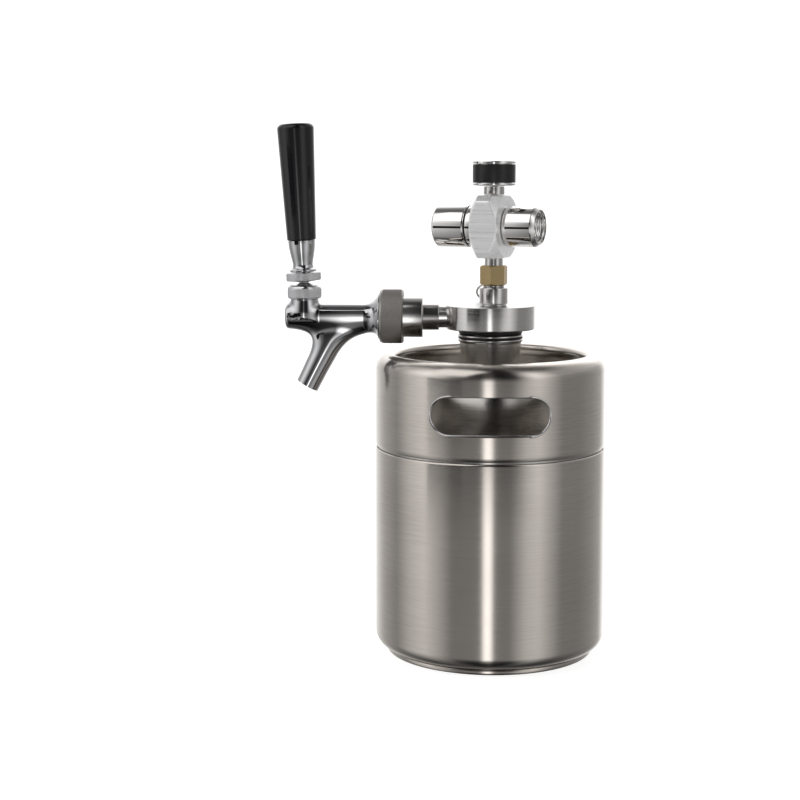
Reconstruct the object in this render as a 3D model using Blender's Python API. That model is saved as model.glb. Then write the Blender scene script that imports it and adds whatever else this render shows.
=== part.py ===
"""Mini beer keg with a screw-in tapping head, a beer faucet and a small gas regulator.

The keg stands on z = 0 with its axis on Z. The faucet points to -X. Sizes are in metres.
"""

from math import cos, pi, radians, sin, sqrt, tan

import bmesh
import bpy
from mathutils import Matrix, Vector

MM = 0.001
GAP = 0.3 * MM          # between pieces that touch
SEGMENTS = 36           # round pieces over 100 mm
SMALL_SEGMENTS = 16     # round pieces under that
FINE_SEGMENTS = 24      # small ones whose outline shows

# Keg
KEG_R = 78 * MM
KEG_WALL = 1.2 * MM
SEAM_Z = 141 * MM       # lower edge of the top ring
SEAM_GROOVE = 1.4 * MM
SKIRT_DEPTH = 8 * MM    # how far the dome's skirt reaches into the shell
RING_HEIGHT = 62.5 * MM
RIM_BEND_R = 11 * MM
RIM_CURL = 3.2 * MM
SLOT_LENGTH = 78 * MM
SLOT_HEIGHT = 26 * MM
SLOT_RISE = 29 * MM    # slot's middle above the seam
BASE_BEND_R = 9 * MM
FOOT_HEIGHT = 3.7 * MM
FOOT_INSET = 7.5 * MM
FOOT_WIDTH = 9 * MM
BOTTOM_RISE = 7 * MM
CROWN_R = 30 * MM
CROWN_RISE = 48 * MM     # dome's top above the seam
DOME_BEND_R = 4 * MM

# Neck and head
NECK_R = 21 * MM
NECK_WALL = 4 * MM
NECK_FLARE = 4 * MM
NECK_BEAD = 1.25 * MM
NECK_BEAD_H = 4.4 * MM
NECK_RISE = 27.5 * MM     # neck's top above the dome
GASKET_H = 2.9 * MM
DISC_R = 30.35 * MM
DISC_H = 16.1 * MM
EDGE = 1 * MM
PLUG_PLAY = 1.4 * MM     # between the plug and the neck's bore
PLUG_DEPTH = 22 * MM
DIP_R = 4.5 * MM
DIP_BORE_R = 3 * MM
DIP_END_Z = 16 * MM
GAS_PORT_R = 1.4 * MM
RELIEF_PORT_R = 1.2 * MM

# Faucet line, along -X
SHANK_DROP = 8 * MM     # shank axis below the disc's top
SHANK_BORE_R = 3 * MM
SHANK_SEAT_GAP = 0.55 * MM
SHANK_NECK_LENGTH = 4 * MM
SHANK_MIDDLE_LENGTH = 10.9 * MM
SHANK_FLANGE_LENGTH = 15.7 * MM
SHANK_COLLAR_LENGTH = 3.5 * MM
SHANK_SPIGOT_R = 5.4 * MM
SHANK_SPIGOT_LENGTH = 6.9 * MM
SHANK_NECK_R = 7.6 * MM
SHANK_COLLAR_R = 15.8 * MM
SEAL_WIRE = 1.6 * MM
SHANK_MIDDLE_R = 9.15 * MM
SHANK_FLANGE_R = 14.05 * MM
COUPLING_WASHER_H = 1.8 * MM
NUT_R = 18.55 * MM
NUT_START = 13.3 * MM    # nut's near end past the shank's flange
NUT_LENGTH = 16 * MM
THREAD_R = 16 * MM
FLARE_R = 16.15 * MM
FLARE_LENGTH = 11 * MM
CHAMBER_R = 7.4 * MM
SEAT_DEPTH = 6.9 * MM    # valve seat past the nut
BODY_R = 8.6 * MM
BODY_NOSE = 12.9 * MM    # tube's end past the lever
BODY_BORE_R = 5.5 * MM
LEVER_REACH = 51.7 * MM  # lever's axis past the nut
BONNET_SEAT = 11.9 * MM  # bonnet's underside above the shank axis
BONNET_SEAT_R = 9.2 * MM
SPOUT_TILT = radians(29.5)
SPOUT_SHIFT = 1.1 * MM   # mouth's middle behind the lever's axis
SPOUT_DROP = 47.1 * MM
SPOUT_R = 8 * MM
SPOUT_BORE_R = 5 * MM
BONNET_R = 11.75 * MM
BONNET_H = 9.4 * MM
BONNET_MOUTH_R = 6.1 * MM
BONNET_EDGE = 1.6 * MM
NECK_THREAD_R = 8.3 * MM
WASHER_H = 1.5 * MM
BALL_R = 5 * MM
BALL_DROP = 6 * MM       # ball centre below the bonnet's top
BALL_HOLD = 0.64 * BALL_R  # washers grip the ball this far above and below its centre
FRICTION_H = 1 * MM
TAIL_WELL_R = 4.5 * MM
TAIL_WELL_SPREAD = 1.5 * MM  # the tail's well widens downwards by this
FAUCET_NECK_RISE = 0.58 * BALL_R  # neck's top above the ball's centre
LEVER_R = 3.2 * MM
LEVER_TAIL_R = 2.2 * MM
COLLAR_R = 12.05 * MM
COLLAR_H = 6.9 * MM
COLLAR_GAP = 2 * MM
COLLAR_RISE = 1 * MM   # of the collar's coned underside
FERRULE_H = 21 * MM
FERRULE_WAIST_R = 6.8 * MM
FERRULE_TOP_R = 9.25 * MM
GRIP_H = 79 * MM
GRIP_FOOT_R = 9.9 * MM
GRIP_TOP_R = 12.55 * MM
HANDLE_LEAN = radians(2.9)
GRIP_SPIGOT_R = 5 * MM
GRIP_SPIGOT_H = 10 * MM
SHAFT_R = 3 * MM
SHAFT_HEAD_R = 4.9 * MM
SHAFT_HEAD_HALF = 6.5 * MM
SHAFT_SLOT_HALF = 3.8 * MM
SEAT_WASHER_R = 6.8 * MM
SEAT_WASHER_H = 2 * MM

# Gas side, on the head disc
GAS_X = 2 * MM
GAS_Y = -11 * MM
POST_R = 9.6 * MM
POST_H = 12.4 * MM
POST_NECK_R = 7.4 * MM
POST_NECK_H = 4.2 * MM
POST_BORE_R = 4 * MM
UNION_FLATS = 16.6 * MM
UNION_H = 13.1 * MM
UNION_TURN = radians(17)
UNION_RISE = 1.8 * MM    # nut's foot above the post's shoulder
RELIEF_X = 0.2 * MM
RELIEF_Y = 13.2 * MM
RELIEF_R = 8 * MM
RELIEF_H = 10.5 * MM
RELIEF_STEM_R = 1.9 * MM
RING_R = 9.7 * MM
RING_WIRE_R = 0.75 * MM
RELIEF_SPRING_R = 4 * MM
EYE_H = 6.6 * MM
EYE_GAP = 0.5 * MM       # round the ring's wire in the stem's eye
RING_TILT = radians(47)  # the hanging ring leans back from the vertical, down to the disc
POPPET_RISE = 5.4 * MM   # poppet above the disc
POPPET_H = 5 * MM
RELIEF_FLOOR = 3 * MM    # under the relief valve's spring
RELIEF_ROOF = 2 * MM
STEM_COLLAR_H = 1.5 * MM
STEM_R = 6.2 * MM
STEM_H = 5.2 * MM
OUTLET_COLLAR_H = 3 * MM

# Regulator, its own axis turned towards the front
REGULATOR_TURN = radians(-22.5)
BLOCK_HALF = 20.85 * MM
BLOCK_END = 9.8 * MM
BLOCK_CHAMFER = 4.05 * MM
BLOCK_CONE = radians(51.7)   # slope of the turned chamfer at both ends
CAP_R = 14.55 * MM
CAP_NEAR = 16.9 * MM
CAP_FAR = 40.1 * MM
CAP_WALL = 2.4 * MM
CAP_NECK_R = 14.2 * MM
CAP_RING_W = 1.3 * MM
PISTON_H = 4 * MM
SOCKET_R = 13.75 * MM
SOCKET_FAR = 33.2 * MM
SOCKET_BORE_R = 9.65 * MM
SOCKET_FLOOR = 14 * MM
PIN_R = 1.6 * MM
PIN_LENGTH = 7 * MM
KNOB_STEM_R = 7.15 * MM
KNOB_STEM_H = 6.1 * MM
KNOB_R = 14.75 * MM
KNOB_H = 16.6 * MM
KNOB_BAND = 1.8 * MM
KNOB_SLEEVE_R = 14.4 * MM
SPINDLE_R = 2.6 * MM
SPINDLE_DEPTH = 8 * MM
NEEDLE_H = 6 * MM

# Places that follow from the sizes above
SEAM_R = KEG_R - KEG_WALL
RIM_Z = SEAM_Z + RING_HEIGHT
SLOT_Z = SEAM_Z + SLOT_RISE
FOOT_R = KEG_R - FOOT_INSET
CROWN_Z = SEAM_Z + CROWN_RISE
NECK_BORE_R = NECK_R - NECK_WALL
NECK_FLARE_R = NECK_R + NECK_FLARE
NECK_BEAD_R = NECK_R + NECK_BEAD
NECK_TOP_Z = CROWN_Z + NECK_RISE
PLUG_R = NECK_BORE_R - PLUG_PLAY
DISC_Z = NECK_TOP_Z + GASKET_H + 2 * GAP
DISC_TOP = DISC_Z + DISC_H
SHANK_Z = DISC_TOP - SHANK_DROP
SHANK_SEAT_X = -DISC_R - SHANK_SEAT_GAP
SHANK_SPIGOT_X = SHANK_SEAT_X + SHANK_SPIGOT_LENGTH
SHANK_STEP_X = SHANK_SEAT_X - SHANK_NECK_LENGTH
SHANK_FLANGE_X = SHANK_STEP_X - SHANK_MIDDLE_LENGTH
SHANK_COLLAR_X = SHANK_FLANGE_X - SHANK_FLANGE_LENGTH
SHANK_END_X = SHANK_COLLAR_X - SHANK_COLLAR_LENGTH
NUT_NEAR_X = SHANK_FLANGE_X - NUT_START
NUT_FAR_X = NUT_NEAR_X - NUT_LENGTH
SEAT_X = NUT_FAR_X - SEAT_DEPTH
LEVER_X = NUT_FAR_X - LEVER_REACH
BODY_FRONT_X = LEVER_X - BODY_NOSE
SPOUT_MOUTH_X = LEVER_X + SPOUT_SHIFT
BONNET_Z = SHANK_Z + BONNET_SEAT
BALL_Z = BONNET_Z + BONNET_H - BALL_DROP
POST_TOP = DISC_TOP + GAP + POST_H
UNION_Z = POST_TOP + UNION_RISE
STEM_Z = UNION_Z + UNION_H
BLOCK_Z = STEM_Z + STEM_H
REGULATOR_Z = BLOCK_Z + BLOCK_HALF
BLOCK_TOP = REGULATOR_Z + BLOCK_HALF
KNOB_Z = BLOCK_TOP + KNOB_STEM_H


def clear_scene():
    for item in list(bpy.data.objects):
        bpy.data.objects.remove(item, do_unlink=True)


def finish(name, color, roughness, metallic):
    """A plain Principled material."""
    material = bpy.data.materials.new(name)
    material.use_nodes = True
    shader = material.node_tree.nodes["Principled BSDF"]
    shader.inputs["Base Color"].default_value = (*color, 1)
    shader.inputs["Roughness"].default_value = roughness
    shader.inputs["Metallic"].default_value = metallic
    return material


def steel(name):
    return finish(name + "_steel", (0.62, 0.59, 0.56), 0.32, 1)


def chrome(name):
    return finish(name + "_chrome", (0.85, 0.85, 0.86), 0.06, 1)


def brass(name):
    return finish(name + "_brass", (0.62, 0.44, 0.2), 0.35, 1)


def rubber(name):
    return finish(name + "_rubber", (0.02, 0.02, 0.02), 0.6, 0)


def black_plastic(name):
    return finish(name + "_plastic", (0.01, 0.01, 0.01), 0.2, 0)


def along(start, direction, turn=0):
    """The frame whose local Z runs from start along direction."""
    spin = Matrix.Rotation(turn, 4, "Z")
    aim = Vector(direction).to_track_quat("Z", "Y").to_matrix().to_4x4()
    return Matrix.Translation(start) @ aim @ spin


def upright(x, y, z):
    return Matrix.Translation((x, y, z))


def place(name, bm, frame, material):
    """Makes the object from a bmesh with its normals out and its round faces smooth."""
    bmesh.ops.remove_doubles(bm, verts=bm.verts, dist=0.00001)
    bmesh.ops.recalc_face_normals(bm, faces=bm.faces)
    mesh = bpy.data.meshes.new(name)
    bm.to_mesh(mesh)
    bm.free()
    mesh.shade_smooth()
    mesh.set_sharp_from_angle(angle=radians(35))
    item = bpy.data.objects.new(name, mesh)
    bpy.context.scene.collection.objects.link(item)
    item.matrix_world = frame
    mesh.materials.append(material)
    return item


def turned_mesh(profile, steps):
    """A closed outline of (radius, height) points spun once round Z."""
    bm = bmesh.new()
    points = [bm.verts.new((radius, 0, height)) for radius, height in profile]
    edges = [bm.edges.new(pair) for pair in zip(points, points[1:] + points[:1])]
    for edge in list(edges):
        on_axis = all(point.co.x < 1e-9 for point in edge.verts)
        if on_axis:
            bm.edges.remove(edge)
            edges.remove(edge)
    bmesh.ops.spin(
        bm, geom=points + edges, cent=(0, 0, 0), axis=(0, 0, 1), angle=2 * pi,
        steps=steps, use_merge=True,
    )
    return bm


def turned(name, profile, frame, material, steps=SMALL_SEGMENTS):
    return place(name, turned_mesh(profile, steps), frame, material)


def rod(radius, low, high, edge=0.0):
    """Outline of a solid cylinder with bevelled ends."""
    return [
        (0, high), (radius - edge, high), (radius, high - edge),
        (radius, low + edge), (radius - edge, low), (0, low),
    ] if edge else [(0, high), (radius, high), (radius, low), (0, low)]


def tube(inner, outer, low, high, edge=0.0):
    """Outline of a ring or tube with bevelled outer corners."""
    if edge:
        outside = [(outer - edge, high), (outer, high - edge), (outer, low + edge), (outer - edge, low)]
    else:
        outside = [(outer, high), (outer, low)]
    return [(inner, high)] + outside + [(inner, low)]


def arc(center, radius, start, end, steps):
    """Points of an arc in the (radius, height) plane, by its angles in degrees."""
    angles = [radians(start + (end - start) * i / steps) for i in range(steps + 1)]
    return [(center[0] + radius * cos(a), center[1] + radius * sin(a)) for a in angles]


def cutter(name, bm, frame):
    item = place(name, bm, frame, steel(name))
    item.hide_render = True
    item.display_type = "WIRE"
    return item


def boolean(item, tool, operation):
    change = item.modifiers.new(tool.name, "BOOLEAN")
    change.operation = operation
    change.object = tool
    change.solver = "EXACT"


# ---------- keg ----------

def sheet(path, wall):
    """Closed outline of bent sheet metal. path runs along its outer side, top to bottom."""
    inner = []
    for i, (radius, height) in enumerate(path):
        before = path[max(i - 1, 0)]
        after = path[min(i + 1, len(path) - 1)]
        run = Vector((after[0] - before[0], after[1] - before[1])).normalized()
        inner.append((max(radius + wall * run.y, 0), height - wall * run.x))
    return path + inner[::-1]


def bezier(start, pull_start, pull_end, end, steps):
    """Points of a cubic curve in the (radius, height) plane."""
    points = []
    for i in range(steps + 1):
        t = i / steps
        weights = ((1 - t) ** 3, 3 * t * (1 - t) ** 2, 3 * t * t * (1 - t), t ** 3)
        ends = (start, pull_start, pull_end, end)
        points.append(tuple(sum(w * p[k] for w, p in zip(weights, ends)) for k in (0, 1)))
    return points


def vessel_shell():
    low = FOOT_HEIGHT + GAP
    bend = arc((KEG_R - BASE_BEND_R, low + BASE_BEND_R), BASE_BEND_R, 0, -90, 5)
    heel = FOOT_R - FOOT_WIDTH
    hollow = [(heel, low), (heel * 0.75, low + BOTTOM_RISE * 0.7), (0, low + BOTTOM_RISE)]
    path = [(KEG_R, SEAM_Z - SEAM_GROOVE)] + bend + hollow
    outline = sheet(path, KEG_WALL)
    return turned("vessel_shell", outline, upright(0, 0, 0), steel("shell"), SEGMENTS)


def dome_path():
    skirt_r = SEAM_R - GAP
    skirt_low = SEAM_Z - SEAM_GROOVE - SKIRT_DEPTH
    bend = arc((skirt_r - DOME_BEND_R, SEAM_Z), DOME_BEND_R, 75, 0, 3)
    hole = NECK_R + 2 * GAP
    flank = bezier(
        (hole, CROWN_Z), (CROWN_R + 14 * MM, CROWN_Z), (CROWN_R + 12 * MM, SEAM_Z + 7 * MM), bend[0], 6
    )
    return flank + bend[1:] + [(skirt_r, skirt_low)]


def vessel_dome():
    outline = sheet(dome_path(), KEG_WALL)
    return turned("vessel_dome", outline, upright(0, 0, 0), steel("dome"), SEGMENTS)


def top_ring():
    lip = arc((KEG_R - RIM_BEND_R, RIM_Z - RIM_CURL), RIM_CURL, 200, 105, 3)
    bend = arc((KEG_R - RIM_BEND_R, RIM_Z - RIM_BEND_R), RIM_BEND_R, 90, 0, 6)
    outline = sheet(lip + bend + [(KEG_R, SEAM_Z)], KEG_WALL)
    ring = turned("top_ring", outline, upright(0, 0, 0), steel("ring"), SEGMENTS)
    bm = bmesh.new()
    radius = SLOT_HEIGHT / 2
    reach = SLOT_LENGTH / 2 - radius
    ends = [(reach, -90), (-reach, 90)]
    rim = []
    for middle, start in ends:
        for i in range(9):
            angle = radians(start + 180 * i / 8)
            rim.append(bm.verts.new((middle + radius * cos(angle), -2 * KEG_R, radius * sin(angle))))
    face = bm.faces.new(rim)
    grown = bmesh.ops.extrude_face_region(bm, geom=[face])["geom"]
    moved = [part for part in grown if isinstance(part, bmesh.types.BMVert)]
    bmesh.ops.translate(bm, verts=moved, vec=(0, 4 * KEG_R, 0))
    slots = cutter("slot_cutter", bm, upright(0, 0, SLOT_Z))
    boolean(ring, slots, "DIFFERENCE")
    return ring


def foot_ring():
    outline = tube(FOOT_R - FOOT_WIDTH, FOOT_R, 0, FOOT_HEIGHT, EDGE)
    return turned("foot_ring", outline, upright(0, 0, 0), steel("foot"), SEGMENTS)


def neck():
    """The threaded neck with its top bead and the welded flare on the dome."""
    flare = bezier(
        (NECK_R, CROWN_Z + 6 * MM), (NECK_R, CROWN_Z + 2 * MM),
        (NECK_R + 1 * MM, CROWN_Z + 0.5 * MM), (NECK_FLARE_R, CROWN_Z + GAP), 3,
    )
    bead_low = NECK_TOP_Z - NECK_BEAD_H
    outline = [
        (NECK_BORE_R, NECK_TOP_Z), (NECK_BEAD_R - EDGE, NECK_TOP_Z), (NECK_BEAD_R, NECK_TOP_Z - EDGE),
        (NECK_BEAD_R, bead_low + EDGE), (NECK_BEAD_R - EDGE, bead_low), (NECK_R, bead_low - EDGE),
    ]
    below = CROWN_Z - KEG_WALL - 2 * MM
    outline += flare + [(NECK_R, CROWN_Z + GAP), (NECK_R, below), (NECK_BORE_R, below)]
    return turned("neck", outline, upright(0, 0, 0), steel("neck"), FINE_SEGMENTS)


# ---------- tapping head ----------

def head_disc():
    """The lid, with its tapped holes for the shank, the plug, the post and the relief valve."""
    disc = turned(
        "head_disc", rod(DISC_R, DISC_Z, DISC_TOP, EDGE), upright(0, 0, 0), steel("disc"), FINE_SEGMENTS
    )
    port_r = SHANK_SPIGOT_R + GAP
    step = DISC_R - SEAL_WIRE - 2 * GAP
    far = DISC_R + 5 * MM
    port = [
        (0, far), (port_r + SEAL_WIRE, far), (port_r + SEAL_WIRE, step), (port_r, step), (port_r, 0), (0, 0),
    ]
    aim = along((0, 0, SHANK_Z), (-1, 0, 0))
    boolean(disc, cutter("shank_port", turned_mesh(port, 16), aim), "DIFFERENCE")
    well = turned_mesh(rod(DIP_R + GAP, DISC_Z - 5 * MM, SHANK_Z + 3 * MM), 16)
    boolean(disc, cutter("dip_port", well, upright(0, 0, 0)), "DIFFERENCE")
    drill_ports(disc)
    return disc


def drill_ports(item):
    """The two gas passages, which run through the plug and the disc."""
    for name, radius, x, y in (
        ("gas_port", GAS_PORT_R, GAS_X, GAS_Y), ("relief_port", RELIEF_PORT_R, RELIEF_X, RELIEF_Y),
    ):
        drill = turned_mesh(rod(radius, DISC_Z - 2 * PLUG_DEPTH, DISC_TOP + 1 * MM), 10)
        boolean(item, cutter(name + "_" + item.name, drill, upright(x, y, 0)), "DIFFERENCE")


def head_plug():
    """The threaded plug under the disc, bored for the dip tube."""
    top = DISC_Z - GAP
    low = top - PLUG_DEPTH
    outline = [
        (DIP_R + GAP, top), (PLUG_R, top), (PLUG_R, low + 2 * EDGE),
        (PLUG_R - 2 * EDGE, low), (DIP_R + GAP, low),
    ]
    plug = turned("head_plug", outline, upright(0, 0, 0), steel("plug"))
    drill_ports(plug)
    return plug


def lid_gasket():
    top = DISC_Z - GAP
    outline = tube(PLUG_R + GAP, NECK_BEAD_R - 0.6 * MM, NECK_TOP_Z + GAP, top, 0.8 * MM)
    return turned("lid_gasket", outline, upright(0, 0, 0), rubber("gasket"), FINE_SEGMENTS)


def dip_tube():
    top = SHANK_Z + 1 * MM
    outline = tube(DIP_BORE_R, DIP_R, DIP_END_Z, top)
    return turned("dip_tube", outline, upright(0, 0, 0), steel("dip"), 16)


def dip_tube_seal():
    top = DISC_Z - GAP - PLUG_DEPTH - GAP
    outline = tube(DIP_R + GAP, DIP_R + 4 * MM, top - 2.4 * MM, top, 0.6 * MM)
    return turned("dip_tube_seal", outline, upright(0, 0, 0), rubber("dip_seal"), 16)


def gas_post():
    low = DISC_TOP + GAP
    neck_top = POST_TOP + POST_NECK_H
    outline = [
        (POST_BORE_R, neck_top), (POST_NECK_R, neck_top), (POST_NECK_R, POST_TOP),
        (POST_R - EDGE, POST_TOP),
        (POST_R, POST_TOP - EDGE), (POST_R, low + 1.8 * MM), (POST_R - EDGE, low + 1.4 * MM),
        (POST_R - EDGE, low), (POST_BORE_R, low),
    ]
    return turned("gas_post", outline, upright(GAS_X, GAS_Y, 0), steel("post"))


def gas_poppet():
    """The sprung check valve in the gas post."""
    low = DISC_TOP + POPPET_RISE
    outline = [
        (0, low + POPPET_H), (1.2 * MM, low + POPPET_H), (1.2 * MM, low + 2 * MM),
        (POST_BORE_R - 0.5 * MM, low + 2 * MM), (POST_BORE_R - 0.5 * MM, low), (0, low),
    ]
    return turned("gas_poppet", outline, upright(GAS_X, GAS_Y, 0), brass("poppet"), 12)


def coil(name, radius, wire, low, high, turns, frame, material):
    """A compression spring as one swept tube of four sides."""
    bm = bmesh.new()
    per_turn = 8
    sides = 4
    rings = []
    for i in range(turns * per_turn + 1):
        angle = 2 * pi * i / per_turn
        height = low + wire + (high - low - 2 * wire) * i / (turns * per_turn)
        ring = []
        for j in range(sides):
            a = 2 * pi * j / sides
            out = radius + wire * cos(a)
            ring.append(bm.verts.new((out * cos(angle), out * sin(angle), height + wire * sin(a))))
        rings.append(ring)
    for near, far in zip(rings, rings[1:]):
        for j in range(sides):
            bm.faces.new((near[j], near[(j + 1) % sides], far[(j + 1) % sides], far[j]))
    bm.faces.new(rings[0][::-1])
    bm.faces.new(rings[-1])
    return place(name, bm, frame, material)


def gas_poppet_spring():
    low = DISC_TOP + GAP
    return coil(
        "gas_poppet_spring", POST_BORE_R - 1.2 * MM, 0.35 * MM, low, DISC_TOP + POPPET_RISE - GAP, 3,
        upright(GAS_X, GAS_Y, 0), steel("poppet_spring"),
    )


def relief_body():
    low = DISC_TOP + GAP
    high = low + RELIEF_H
    bore = RELIEF_SPRING_R + 1 * MM
    throat = RELIEF_STEM_R + GAP
    outline = [
        (throat, high), (RELIEF_R - EDGE, high), (RELIEF_R, high - EDGE), (RELIEF_R, low),
        (throat, low), (throat, low + RELIEF_FLOOR), (bore, low + RELIEF_FLOOR), (bore, high - RELIEF_ROOF),
        (throat, high - RELIEF_ROOF),
    ]
    return turned(
        "relief_valve_body", outline, upright(RELIEF_X, RELIEF_Y, 0), steel("relief"), SMALL_SEGMENTS
    )


def relief_stem():
    """The pull stem, with the collar its spring bears on and the eye that holds the ring."""
    low = DISC_TOP + GAP
    high = low + RELIEF_H
    collar = low + RELIEF_FLOOR + GAP
    collar_top = collar + STEM_COLLAR_H
    outline = [
        (0, high + EYE_H), (RELIEF_STEM_R, high + EYE_H), (RELIEF_STEM_R, collar_top),
        (RELIEF_SPRING_R, collar_top), (RELIEF_SPRING_R, collar), (RELIEF_STEM_R, collar),
        (RELIEF_STEM_R, low + 0.5 * MM), (0, low + 0.5 * MM),
    ]
    stem = turned("relief_stem", outline, upright(RELIEF_X, RELIEF_Y, 0), steel("stem"), 16)
    eye = turned_mesh(rod(RING_WIRE_R + EYE_GAP, -5 * MM, 5 * MM), 10)
    aim = along((RELIEF_X, RELIEF_Y, ring_height()), (1, 0, 0))
    boolean(stem, cutter("ring_eye", eye, aim), "DIFFERENCE")
    return stem


def ring_height():
    return DISC_TOP + GAP + RELIEF_H + EYE_H / 2


def relief_spring():
    low = DISC_TOP + GAP + RELIEF_FLOOR + GAP + STEM_COLLAR_H + GAP
    high = DISC_TOP + GAP + RELIEF_H - RELIEF_ROOF - GAP
    return coil(
        "relief_spring", RELIEF_SPRING_R - 0.8 * MM, 0.3 * MM, low, high, 2,
        upright(RELIEF_X, RELIEF_Y, 0), steel("relief_spring"),
    )


def pull_ring():
    """The ring through the stem's eye. It leans back from the eye until it lies on the disc."""
    bm = bmesh.new()
    sides = 6
    steps = 20
    rings = []
    for i in range(steps):
        angle = 2 * pi * i / steps
        ring = []
        for j in range(sides):
            a = 2 * pi * j / sides
            out = RING_R + RING_WIRE_R * cos(a)
            ring.append(bm.verts.new((out * cos(angle), RING_WIRE_R * sin(a), out * sin(angle) - RING_R)))
        rings.append(ring)
    for i in range(steps):
        near = rings[i]
        far = rings[(i + 1) % steps]
        for j in range(sides):
            bm.faces.new((near[j], near[(j + 1) % sides], far[(j + 1) % sides], far[j]))
    lean = upright(RELIEF_X, RELIEF_Y, ring_height()) @ Matrix.Rotation(RING_TILT, 4, "X")
    return place("relief_pull_ring", bm, lean, steel("pull_ring"))


# ---------- shank and faucet ----------

def toward_faucet():
    """Local Z runs from the keg's axis along the shank, to -X."""
    return along((0, 0, SHANK_Z), (-1, 0, 0))


def shank():
    bore = SHANK_BORE_R
    outline = [
        (bore, -SHANK_END_X), (SHANK_COLLAR_R, -SHANK_END_X), (SHANK_COLLAR_R, -SHANK_COLLAR_X),
        (SHANK_FLANGE_R, -SHANK_COLLAR_X), (SHANK_FLANGE_R, -SHANK_FLANGE_X + EDGE / 2),
        (SHANK_FLANGE_R - EDGE / 2, -SHANK_FLANGE_X), (SHANK_MIDDLE_R, -SHANK_FLANGE_X),
        (SHANK_MIDDLE_R, -SHANK_STEP_X + EDGE / 2), (SHANK_MIDDLE_R - EDGE / 2, -SHANK_STEP_X),
        (SHANK_NECK_R, -SHANK_STEP_X), (SHANK_NECK_R, -SHANK_SEAT_X),
        (SHANK_SPIGOT_R, -SHANK_SEAT_X), (SHANK_SPIGOT_R, -SHANK_SPIGOT_X), (bore, -SHANK_SPIGOT_X),
    ]
    return turned("shank", outline, toward_faucet(), steel("shank"))


def shank_seal():
    inner = SHANK_SPIGOT_R + GAP / 2
    high = -SHANK_SEAT_X - GAP
    outline = tube(inner, inner + SEAL_WIRE - GAP / 2, high - SEAL_WIRE, high, 0.4 * MM)
    return turned("shank_seal", outline, toward_faucet(), rubber("shank_seal"))


def coupling_nut():
    lip = -SHANK_COLLAR_X - GAP
    near = -NUT_NEAR_X
    far = -NUT_FAR_X
    outline = [
        (THREAD_R + GAP, far), (NUT_R - EDGE, far), (NUT_R, far - EDGE), (NUT_R, near + EDGE),
        (NUT_R - EDGE, near), (SHANK_FLANGE_R + GAP, near), (SHANK_FLANGE_R + GAP, lip),
        (THREAD_R + GAP, lip),
    ]
    return turned("coupling_nut", outline, toward_faucet(), steel("nut"), FINE_SEGMENTS)


def coupling_washer():
    low = -SHANK_END_X + GAP
    outline = tube(CHAMBER_R, SHANK_COLLAR_R, low, low + COUPLING_WASHER_H)
    return turned("coupling_washer", outline, toward_faucet(), rubber("coupling_washer"))


def faucet_spout(bm):
    """Rings of the spout, from its mouth up into the body, where it spreads like a web."""
    down = Vector((-sin(SPOUT_TILT), 0, -cos(SPOUT_TILT)))
    mouth = Vector((SPOUT_MOUTH_X, 0, SHANK_Z - SPOUT_DROP))
    sides = 16
    bend = mouth - down * 19 * MM
    rows = [
        (mouth, SPOUT_TILT, SPOUT_R, SPOUT_R),
        (bend, SPOUT_TILT, SPOUT_R * 1.06, SPOUT_R),
        (bend + Vector((7.5 * MM, 0, 9 * MM)), radians(33), SPOUT_R * 1.4, SPOUT_R * 0.98),
        (bend + Vector((11.5 * MM, 0, 17 * MM)), radians(24), SPOUT_R * 2.05, SPOUT_R * 0.92),
        (bend + Vector((13 * MM, 0, 25 * MM)), radians(4), SPOUT_R * 3.1, SPOUT_R * 0.8),
        (bend + Vector((14 * MM, 0, 29 * MM)), 0, SPOUT_R * 3.3, SPOUT_R * 0.7),
    ]
    rings = []
    for center, tilt, half_width, half_depth in rows:
        across = Vector((cos(tilt), 0, -sin(tilt)))
        ring = []
        for i in range(sides):
            angle = 2 * pi * i / sides
            point = center + across * half_width * cos(angle) + Vector((0, half_depth * sin(angle), 0))
            ring.append(bm.verts.new(point))
        rings.append(ring)
    for near, far in zip(rings, rings[1:]):
        for i in range(sides):
            bm.faces.new((near[i], near[(i + 1) % sides], far[(i + 1) % sides], far[i]))
    bm.faces.new(rings[0][::-1])
    bm.faces.new(rings[-1])
    return bm


def faucet_body():
    """Rear thread, flare, tube, neck for the bonnet and spout, joined, then bored."""
    thread_near = -SHANK_END_X + 2 * GAP + COUPLING_WASHER_H
    flare = -NUT_FAR_X + GAP
    front = -BODY_FRONT_X
    throat = arc((BODY_R + FLARE_LENGTH, flare + FLARE_LENGTH), FLARE_LENGTH, 225, 180, 4)
    outline = [(0, front), (BODY_R * 0.6, front), (BODY_R, front - 3 * MM)]
    outline += throat[::-1]
    outline += [(FLARE_R, flare), (THREAD_R, flare), (THREAD_R, thread_near), (0, thread_near)]
    body = turned("faucet_body", outline, toward_faucet(), chrome("faucet"))
    neck_outline = [
        (0, BALL_Z + FAUCET_NECK_RISE), (NECK_THREAD_R, BALL_Z + FAUCET_NECK_RISE),
        (NECK_THREAD_R, BONNET_Z - GAP), (BONNET_SEAT_R, BONNET_Z - GAP), (BONNET_SEAT_R, BONNET_Z - 3 * MM),
        (BONNET_SEAT_R + 0.8 * MM, SHANK_Z + 3 * MM), (BONNET_SEAT_R, SHANK_Z - 3 * MM),
        (0, SHANK_Z - 5 * MM),
    ]
    spout = cutter("spout_body", faucet_spout(bmesh.new()), upright(0, 0, 0))
    boolean(body, spout, "UNION")
    riser = cutter("neck_body", turned_mesh(neck_outline, SMALL_SEGMENTS), upright(LEVER_X, 0, 0))
    boolean(body, riser, "UNION")
    for hole in faucet_holes():
        boolean(body, hole, "DIFFERENCE")
    return body


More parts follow.
